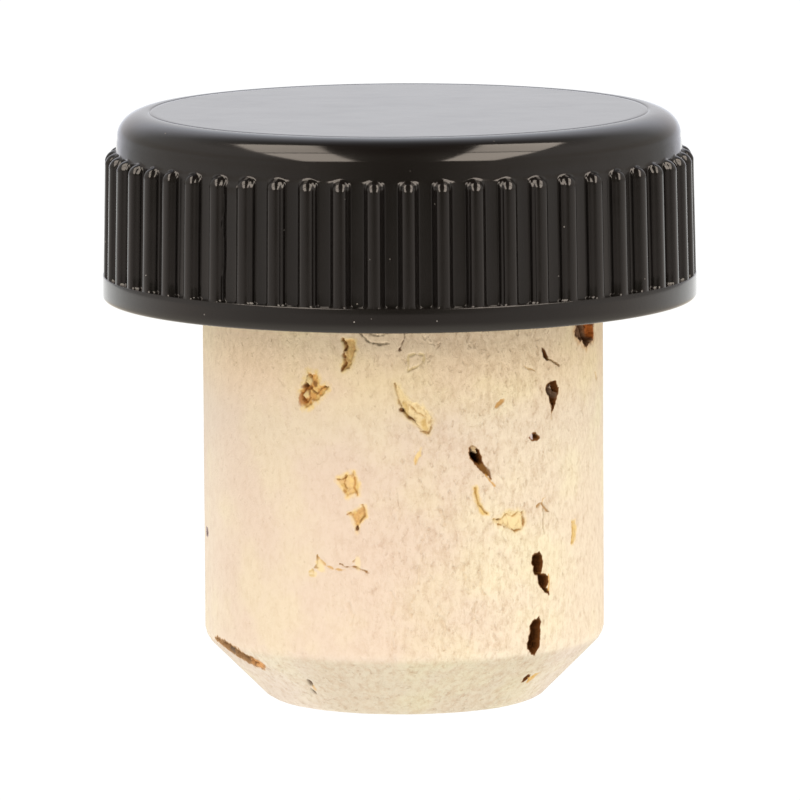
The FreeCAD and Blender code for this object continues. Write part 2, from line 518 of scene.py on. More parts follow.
    # The same clumps, pits, wrinkles and fibres as relief, of 0.13 mm for their whole range
    high = add_node(
        tree, "ShaderNodeMath", {0: pits, 1: -0.35, 2: clumps}, operation="MULTIPLY_ADD",
    ).outputs[0]
    higher = add_node(
        tree, "ShaderNodeMath", {0: wrinkles, 1: -0.12, 2: high}, operation="MULTIPLY_ADD",
    ).outputs[0]
    torn_relief = add_node(
        tree, "ShaderNodeMath", {0: higher, 1: torn}, operation="MULTIPLY",
    ).outputs[0]
    fibre_relief = add_node(
        tree, "ShaderNodeMath", {0: fibres, 1: fibrous}, operation="MULTIPLY",
    ).outputs[0]
    height = add_node(
        tree, "ShaderNodeMath", {0: fibre_relief, 1: 0.3, 2: torn_relief},
        operation="MULTIPLY_ADD",
    ).outputs[0]
    bump = add_node(
        tree, "ShaderNodeBump", {"Height": height, "Strength": 1.0, "Distance": 0.13 * MM},
    )
    shader = add_node(
        tree, "ShaderNodeBsdfPrincipled",
        {
            "Base Color": socket(finished.outputs, "Result"),
            "Roughness": 0.85,
            "Specular IOR Level": 0.15,
            "IOR": 1.45,
            "Normal": bump.outputs["Normal"],
        },
    )
    add_node(tree, "ShaderNodeOutputMaterial", {"Surface": shader.outputs["BSDF"]})
    return material


# Plastic head

HEAD_TOP = HEAD_HIGH.z / MM
RIM = 19.6  # height of the head's lower edge

# The fine line round the top face: distances from its middle, and depths there
LINE_RADIUS = 12.09
LINE_PROFILE = ((-0.3, 0), (-0.1, 0), (-0.05, 0.012), (0, 0.05), (0.05, 0.012), (0.1, 0))
SHOULDER_STEPS = 18

# Depths below the top face at which the wall starts to open, and above which it bends in to
# meet the shoulder, by BEND times the square of the distance
DRAFT_FROM, BEND_FROM, BEND = 1.3, 2.1, 0.06

# Points across half a rib: shares of its half-width, then millimetres outside it. With the
# middle of the gap these make the columns from one gap's middle to the next.
INSIDE_RIB = (0.0, 0.3, 0.56, 0.72, 0.84, 0.93, 1.0)
OUTSIDE_RIB = (0.01, 0.04, 0.075, 0.12)
RIB_COLUMNS = 2 * (len(INSIDE_RIB) + len(OUTSIDE_RIB))
RIB_MID_RADIUS = 13.8
FLANK_DRAFT = math.tan(math.radians(14))
CREST_DRAFT = math.tan(math.radians(1.2))
TIP_FALL, TIP_LIMIT = 1.6, 1.5  # power of the curve by which a rib's end falls, and its end
TIP_HALF_WIDTH = 0.05  # between the points beside a rib's middle, above its arched end
RUN_OUT = 0.06  # a rise less than this runs out softly on the wall
FOOT_SPREAD, FOOT_BLEND = 0.07, 0.12  # a rib's foot is this much wider, over this height

# Rows of points down the ribs: even ones from the shoulder, heights above the ribs' tips,
# even ones again, and heights above the ledge
ROWS_TO_TIP = 5
TIP_ROWS = (
    0.09, 0.04, 0.01, -0.02, -0.05, -0.07, -0.1, -0.13, -0.17, -0.21, -0.26, -0.31, -0.36,
    -0.42, -0.48, -0.54, -0.6, -0.66, -0.72, -0.78,
)
STRAIGHT_ROWS = 10
FOOT_ROWS = (0.08, 0.04, 0.015, 0.0)
LEDGE_ROUND = 0.05

# Faults of this moulding: a faint waviness, and beside the rib at -38 degrees a gap that is
# part filled. Each pair is where the filling starts or ends, in degrees or in millimetres.
WAVINESS = 0.004
FILL_LEFT, FILL_RIGHT = (-36.6, -36.0), (-33.7, -33.0)
FILL_LOW, FILL_HIGH = (20.6, 20.75), (26.2, 26.6)
FILL_OUT, FILL_OUT_WAVE = 0.14, 0.02
BENT_FLANK, BENT_WIDTH, BENT_BY = -33.2, 0.8, 0.12  # degrees

# Top face: radii of its rings, and how many times fewer points each has than the last
TOP_RINGS = ((11.2, 3), (9.0, 1), (6.0, 2), (3.0, 3))

# Underside and stem, mostly out of sight: radii, then heights
SKIRT_RADIUS, SKIRT_TOP_RADIUS, RIM_RADIUS = 12.393, 12.245, 13.6
COLLAR_OUTER, COLLAR_INNER = 11.3, 10.0
RING_OUTER, RING_INNER = 7.25, 5.95
STEM_RADIUS, STEM_CORE = 3.5, 1.4
SEAT, CEILING, STEM_TIP = 21.2, 26.7, 11.2
EDGE = 0.12
STEM_NOSE = 0.6
BARB_COUNT, BARB_PITCH, BARB_LENGTH, BARB_OUT = 3, 2.7, 1.6, 0.35
WEB_COUNT, WEB_HALF, WEB_BEVEL, WEB_FOOT = 8, 0.6, 0.12, 20.4
OVERLAP = 0.3  # how far a web goes into what it joins
WEB_START = 3.0  # radius, inside the stem


def wall_at(head, height):
    """Radius of the wall between the ribs at a height."""
    below = HEAD_TOP - height
    opened = max(0.0, below - DRAFT_FROM) * math.tan(head.draft)
    return head.wall_radius + opened - BEND * max(0.0, BEND_FROM - below) ** 2


def past_arch(head, height):
    """How far a height is above the middle of a rib's arched end."""
    return max(0.0, height - head.rib_tip_height + head.rib_fillet + head.rib_half_width)


def spread_at_foot(head, height):
    """How much wider a rib is at its foot, where it is blended into the ledge."""
    above_ledge = height - RIM - head.band_height
    return FOOT_SPREAD * max(0.0, 1 - above_ledge / FOOT_BLEND) ** 2


def rib_rise(head, across, height):
    """Height of a rib above the wall: a crowned crest with rounded edges, steep flanks in
    hollow fillets, and an arched upper end that falls to the wall."""
    below_tip = head.rib_tip_height - height
    fall = min(TIP_LIMIT, max(0.0, 1 - below_tip / head.rib_point))
    tall = head.rib_height - max(0.0, below_tip) * (math.tan(head.draft) - CREST_DRAFT)
    crest = tall * (1 - fall ** TIP_FALL) - across ** 2 / (2 * head.rib_crown)
    outside = math.hypot(across, past_arch(head, height)) - head.rib_half_width
    outside -= spread_at_foot(head, height)
    inside_crest = max(0.0, -outside - (tall - head.rib_fillet) * FLANK_DRAFT)
    if inside_crest < head.rib_edge:
        left = head.rib_edge - inside_crest
        crest -= head.rib_edge - math.sqrt(head.rib_edge ** 2 - left ** 2)
    if outside <= 0:
        flank = head.rib_fillet - outside / FLANK_DRAFT
    else:
        left = max(0.0, head.rib_fillet - outside)
        flank = head.rib_fillet - math.sqrt(head.rib_fillet ** 2 - left ** 2)
    rise = min(crest, flank)
    return max(0.0, rise) + max(0.0, RUN_OUT - abs(rise)) ** 2 / (4 * RUN_OUT)


def across_rib(head, height):
    """The section of one rib and half a gap at each side, as distances round and rises."""
    square = head.rib_half_width ** 2 - past_arch(head, height) ** 2
    half = math.sqrt(max(TIP_HALF_WIDTH ** 2, square)) + spread_at_foot(head, height)
    right = [half * share for share in INSIDE_RIB] + [half + more for more in OUTSIDE_RIB]
    gap_middle = -math.pi * RIB_MID_RADIUS / head.rib_count
    places = [gap_middle] + [-x for x in reversed(right[1:])] + right
    return [(x, rib_rise(head, x, height)) for x in places]


def moulding_faults(angle, height):
    """How far round and how far out a point is off, because the moulding isn't quite true."""
    turn = math.radians(angle)
    spot = Vector((math.sin(turn) * 14, math.cos(turn) * 14, height))
    wave = noise.noise(Vector((3.1, 0.0, height * 1.1)))
    wave += 0.4 * noise.noise(Vector((5.2, 0.0, height * 3.0)))
    fill_start = [edge + 0.5 * wave for edge in FILL_LEFT]
    filled = smooth(*fill_start, angle) * (1 - smooth(*FILL_RIGHT, angle))
    tall = smooth(*FILL_LOW, height) * (1 - smooth(*FILL_HIGH, height))
    out = WAVINESS * noise.noise(spot * 0.7)
    out += filled * tall * (FILL_OUT + FILL_OUT_WAVE * wave)
    beside = math.exp(-((angle - BENT_FLANK) / BENT_WIDTH) ** 2)
    return beside * tall * BENT_BY * wave, out


def quarter_turn(steps):
    """Angles of the points that round an edge, without the first one."""
    return [math.pi / 2 * step / steps for step in range(1, steps + 1)]


def top_rows(head, even):
    """Rows over the edge of the top face, with its fine line, and down the shoulder."""
    shoulder_foot = HEAD_TOP - head.shoulder_drop
    start = head.wall_radius - head.shoulder_run
    run = wall_at(head, shoulder_foot) - start
    profile = [(LINE_RADIUS + aside, HEAD_TOP - depth) for aside, depth in LINE_PROFILE]
    profile.append((start, HEAD_TOP))
    for turn in quarter_turn(SHOULDER_STEPS)[:-1]:
        height = shoulder_foot + head.shoulder_drop * math.cos(turn)
        profile.append((start + run * math.sin(turn), height))
    rows = [[(x, radius, height) for x in even[::2]] for radius, height in profile]
    rows.append([(x, start + run, shoulder_foot) for x in even])
    return rows


def rib_rows(head, even):
    """Rows from the foot of the shoulder down the ribs to the ledge."""
    rows = []
    shoulder_foot = HEAD_TOP - head.shoulder_drop
    heights = [head.rib_tip_height + above for above in TIP_ROWS]
    first, last = heights[0], heights[-1]
    tip = [x for x, _ in across_rib(head, first)]
    for step in range(1, ROWS_TO_TIP):
        share = step / ROWS_TO_TIP
        height = mix(shoulder_foot, first, share)
        places = [mix(a, b, smooth(0, 1, share)) for a, b in zip(even, tip)]
        rows.append([(x, wall_at(head, height), height) for x in places])
    ledge = RIM + head.band_height
    for step in range(1, STRAIGHT_ROWS + 1):
        heights.append(mix(last, ledge + FOOT_BLEND, step / STRAIGHT_ROWS))
    heights += [ledge + above for above in FOOT_ROWS]
    for height in heights:
        wall = wall_at(head, height)
        rows.append([(x, wall + rise, height) for x, rise in across_rib(head, height)])
    return rows


def band_rows(head, even, last):
    """Rows from the last one of the ribs out over the ledge and down the band to the rim."""
    ledge = RIM + head.band_height
    wall, edge = wall_at(head, ledge), head.band_radius - LEDGE_ROUND
    profile = [(radius, ledge) for radius in (wall + 0.1, wall + 0.25, edge)]
    for turn in quarter_turn(4):
        height = ledge - LEDGE_ROUND + LEDGE_ROUND * math.cos(turn)
        profile.append((edge + LEDGE_ROUND * math.sin(turn), height))
    rows = [
        [(x, max(radius, before), height) for x, before, _ in last] for radius, height in profile
    ]
    low = RIM + head.rim_round
    profile = [(head.band_radius, mix(ledge, low, share)) for share in (0.35, 0.7, 1.0)]
    for turn in quarter_turn(6):
        radius = head.band_radius - head.rim_round + head.rim_round * math.cos(turn)
        profile.append((radius, low - head.rim_round * math.sin(turn)))
    return rows + [[(x, radius, height) for x in even] for radius, height in profile]


def head_rows(head):
    """Rows of the head's outside from the top face down to the rim. Each is a list of
    (distance round from a rib's middle, radius, height), the same for every rib."""
    step = 2 * math.pi * RIB_MID_RADIUS / head.rib_count / RIB_COLUMNS
    even = [(n - RIB_COLUMNS // 2) * step for n in range(RIB_COLUMNS)]
    ribs = rib_rows(head, even)
    return top_rows(head, even) + ribs + band_rows(head, even, ribs[-1])


def underside_outline():
    """The turned outline inside the rim: skirt, pocket, collar, ring and barbed stem."""
    outline = [
        (SKIRT_RADIUS + EDGE, RIM), (SKIRT_RADIUS, RIM + EDGE), (SKIRT_TOP_RADIUS, CEILING),
        (COLLAR_OUTER, CEILING), (COLLAR_OUTER, RIM + EDGE), (COLLAR_OUTER - EDGE, RIM),
        (COLLAR_INNER + EDGE, RIM), (COLLAR_INNER, RIM + EDGE), (COLLAR_INNER, CEILING),
        (RING_OUTER, CEILING), (RING_OUTER, SEAT), (RING_INNER, SEAT), (RING_INNER, CEILING),
        (STEM_RADIUS, CEILING),
    ]
    for barb in reversed(range(BARB_COUNT)):
        foot = STEM_TIP + STEM_NOSE + barb * BARB_PITCH
        top = foot + BARB_LENGTH
        outline += [
            (STEM_RADIUS, foot + BARB_PITCH), (STEM_RADIUS, top), (STEM_RADIUS + BARB_OUT, top),
        ]
    outline += [
        (STEM_RADIUS, STEM_TIP + STEM_NOSE), (STEM_RADIUS - STEM_NOSE, STEM_TIP),
        (STEM_CORE, STEM_TIP), (STEM_CORE, CEILING),
    ]
    return outline


def add_web(verts, faces, angle, near, far, foot):
    """A radial web with a bevelled lower edge, from one radius to another."""
    top = CEILING + OVERLAP
    across = [
        (-WEB_HALF, top), (-WEB_HALF, foot + WEB_BEVEL), (-WEB_HALF + WEB_BEVEL, foot),
        (WEB_HALF - WEB_BEVEL, foot), (WEB_HALF, foot + WEB_BEVEL), (WEB_HALF, top),
    ]
    turn = Matrix.Rotation(math.radians(angle), 3, "Z")
    start = len(verts)
    for radius in (near, far):
        verts += [tuple(turn @ Vector((side, -radius, height))) for side, height in across]
    count = len(across)
    for n in range(count):
        after = (n + 1) % count
        faces.append([start + n, start + after, start + count + after, start + count + n])
    faces.append([start + n for n in reversed(range(count))])
    faces.append([start + count + n for n in range(count)])


class STOPPER_OT_plastic_head(bpy.types.Operator):
    """Build the ribbed plastic head, with its cored underside and barbed stem"""

    bl_idname = "stopper.plastic_head"
    bl_label = "Plastic head"

    def execute(self, context):
        head = in_mm(context.scene.stopper_head)
        verts, faces = [], []
        rings = self.outside(head, verts, faces)
        first_gap = math.degrees(head.first_rib) - 360 / head.rib_count / 2
        self.top_face(verts, faces, rings[0], first_gap)
        self.underside(verts, faces, rings[-1], first_gap)
        material = gloss_black_polystyrene(context.scene.stopper_head.colour)
        new_piece(
            "plastic_head_moulding", verts, faces, material, "plastic_head", sharp_above=50,
        )
        return {"FINISHED"}

    def outside(self, head, verts, faces):
        """Everything from the edge of the top face to the rim. Returns its rings of points."""
        rings = []
        for row in head_rows(head):
            start = len(verts)
            for rib in range(head.rib_count):
                middle = math.degrees(head.first_rib) + rib * (360 / head.rib_count)
                verts += [self.moulded(head, middle, *place) for place in row]
            rings.append(list(range(start, len(verts))))
        for upper, lower in zip(rings, rings[1:]):
            join_rings(faces, lower, upper)
        return rings

    @staticmethod
    def moulded(head, middle, across, radius, height):
        """A point of a rib's row, with the moulding's faults where it is on the wall."""
        angle = middle + math.degrees(across / RIB_MID_RADIUS)
        if height < head.rib_tip_height + 0.5 and radius < head.band_radius - 0.01:
            round_by, out = moulding_faults((angle + 180) % 360 - 180, height)
            angle, radius = angle + round_by, min(radius + out, head.band_radius)
        return point_at(angle, radius, height)

    @staticmethod
    def top_face(verts, faces, before, turn):
        """The top face inside its first ring, in fewer and fewer points to its middle."""
        count = len(before)
        for radius, share in TOP_RINGS:
            count //= share
            after = ring(verts, count, radius, HEAD_TOP, turn)
            join_rings(faces, before, after)
            before = after
        close_ring(verts, faces, before, HEAD_TOP)

    @staticmethod
    def underside(verts, faces, before, turn):
        """Everything inside the rim: the turned outline and the webs that cross it."""
        count = len(before) // 4
        for radius, height in [(RIM_RADIUS, RIM), *underside_outline()]:
            after = ring(verts, count, radius, height, turn)
            join_rings(faces, before, after)
            before = after
        close_ring(verts, faces, before, CEILING)
        for web in range(WEB_COUNT):
            angle = 90 + web * 360 / WEB_COUNT
            add_web(verts, faces, angle, WEB_START, COLLAR_INNER + OVERLAP, SEAT)
            near, far = COLLAR_OUTER - OVERLAP, SKIRT_RADIUS + OVERLAP
            add_web(verts, faces, angle, near, far, WEB_FOOT)


# Cork shank

# Colours of the lenticels and the bark dust in them
DARK = "#55300f"
BROWN = "#6a4420"
AMBER = "#ba8d44"
STRAW = "#cdb377"
OCHRE = "#b88f51"
BARK_DUST = "#94703c"
GREY_BROWN = "#6c5949"
PALE = "#ccbca6"
LILAC = "#b4a8a6"
FOLD = "#b59c7c"

SHALLOW = 0.2  # pores less deep than this are full of bark dust, in patches of two colours
EDGE_REACH = 0.12  # how near to an edge the cells are fine

# Millimetres in from a pore's outline at which its wall starts, and between which its floor's
# colour comes in
DEEP_START, SHALLOW_START = 0.03, -0.02
DEEP_STAIN, SHALLOW_STAIN = (-0.055, -0.01), (-0.05, 0.07)


def distance_to_path(x, y, points):
    """Distance from a point to a line through points."""
    nearest = math.inf
    for (ax, ay), (bx, by) in zip(points, points[1:]):
        dx, dy = bx - ax, by - ay
        t = ((x - ax) * dx + (y - ay) * dy) / max(1e-12, dx * dx + dy * dy)
        t = min(1.0, max(0.0, t))
        nearest = min(nearest, math.hypot(x - ax - t * dx, y - ay - t * dy))
    return nearest


def inside(x, y, points):
    """Whether a point is inside a closed outline."""
    odd = False
    for (ax, ay), (bx, by) in zip(points, points[1:] + points[:1]):
        if (ay > y) != (by > y) and x < (bx - ax) * (y - ay) / (by - ay) + ax:
            odd = not odd
    return odd


def grain_at(x, y):
    """Noise that makes the edges and fillings uneven, from about -1 to 1."""
    coarse, fine = Vector((x * 5, y * 4, 0.5)), Vector((x * 13, y * 12, 3.5))
    return noise.noise(coarse) + 0.5 * noise.noise(fine)


@dataclass
class Surface:
    """What the features do at one point: how far the surface is cut in, its colour, and how
    much of that covers the plain cork."""

    cut: float = 0.0
    colour: list = field(default_factory=lambda: [0.8, 0.7, 0.5])
    cover: float = 0.0

    def paint(self, hex_colour, share):
        """Lays a colour over what is there."""
        share = min(1.0, max(0.0, share))
        if share <= 0:
            return
        below = self.cover * (1 - share)
        total = share + below
        over = linear(hex_colour)
        self.colour = [(over[n] * share + self.colour[n] * below) / total for n in range(3)]
        self.cover = total


# Each kind of feature has points, as angles round the shank and heights, and these methods:
# reach, how far from its points it shows; needs_finer, whether it shows in cells of a size
# that reach pad from (x, y); and carve, which does to the surface at (x, y) what it does
# there. Both are given its points on the unrolled surface.


@dataclass
class Pore:
    """A lenticel that opens at the surface: points round its outline, how deep it goes, the
    colours of its floor and its lip, how ragged its edge is and how wide its wall."""

    points: list
    depth: float
    floor: str = DARK
    lip: str = AMBER
    lip_width: float = 0.07
    lip_strength: float = 0.6
    ragged: float = 0.05
    wall: float = 0.07

    def reach(self):
        return self.lip_width + 0.1

    def needs_finer(self, flat, x, y, size, pad):
        return size > 2 or distance_to_path(x, y, flat + flat[:1]) < pad + EDGE_REACH

    def carve(self, surface, flat, x, y):
        grain = grain_at(x, y)
        edge = distance_to_path(x, y, flat + flat[:1])
        depth_in = (edge if inside(x, y, flat) else -edge) + self.ragged * grain
        halo = 1 - smooth(0, self.lip_width, -depth_in)
        surface.paint(self.lip, self.lip_strength * halo * (0.8 + 0.5 * grain))
        deep = self.depth > SHALLOW
        start = DEEP_START if deep else SHALLOW_START
        if depth_in > start:
            wall = smooth(start, self.wall + 0.02 + start, depth_in)
            surface.cut = max(surface.cut, self.depth * wall * (1 + 0.25 * grain))
        if deep:
            surface.paint(self.floor, smooth(*DEEP_STAIN, depth_in))
        else:
            filled = smooth(*SHALLOW_STAIN, depth_in)
            surface.paint(self.floor, 0.75 * filled)
            surface.paint(self.lip, filled * smooth(-0.1, 0.5, grain) * 0.75)
            surface.paint(BARK_DUST, filled * smooth(0.2, 0.75, -grain) * 0.5)


@dataclass
class Line:
    """A crack, a fold or an edge of dust: points along it, its width, depth and colour."""

    points: list
    width: float
    depth: float
    colour: str = BROWN
    strength: float = 0.8

    def reach(self):
        return self.width + 0.05

    def needs_finer(self, flat, x, y, size, pad):
        return distance_to_path(x, y, flat) < pad + EDGE_REACH

    def carve(self, surface, flat, x, y):
        grain = grain_at(x, y)
        width = self.width * (0.75 + 0.6 * grain)
        share = 1 - smooth(width * 0.25, width * 0.7 + 0.01, distance_to_path(x, y, flat))
        share *= 0.35 + 0.65 * smooth(-0.5, 0.1, grain)
        surface.cut += self.depth * share
        surface.paint(self.colour, self.strength * share)


@dataclass
class Fleck:
    """A spot of one colour: its middle, half-width, half-height, lean from upright towards the
    right, and how much higher (or, below 0, deeper) it is than what is round it."""

    angle: float
    height: float
    half_width: float
    half_height: float
    lean: float
    colour: str
    strength: float = 0.9
    rise: float = 0.0

    @property
    def points(self):
        return [(self.angle, self.height)]

    def reach(self):
        return max(self.half_width, self.half_height) * 1.5

    def needs_finer(self, flat, x, y, size, pad):
        return True

    def carve(self, surface, flat, x, y):
        (middle_x, middle_y), lean = flat[0], math.radians(self.lean)
        dx, dy = x - middle_x, y - middle_y
        across = dx * math.cos(lean) - dy * math.sin(lean)
        along = dx * math.sin(lean) + dy * math.cos(lean)
        out = math.hypot(across / self.half_width, along / self.half_height)
        share = 1 - smooth(0.65, 1.2, out + 0.3 * grain_at(x, y))
        surface.cut = max(0.0, surface.cut - self.rise * share)
        surface.paint(self.colour, self.strength * share)


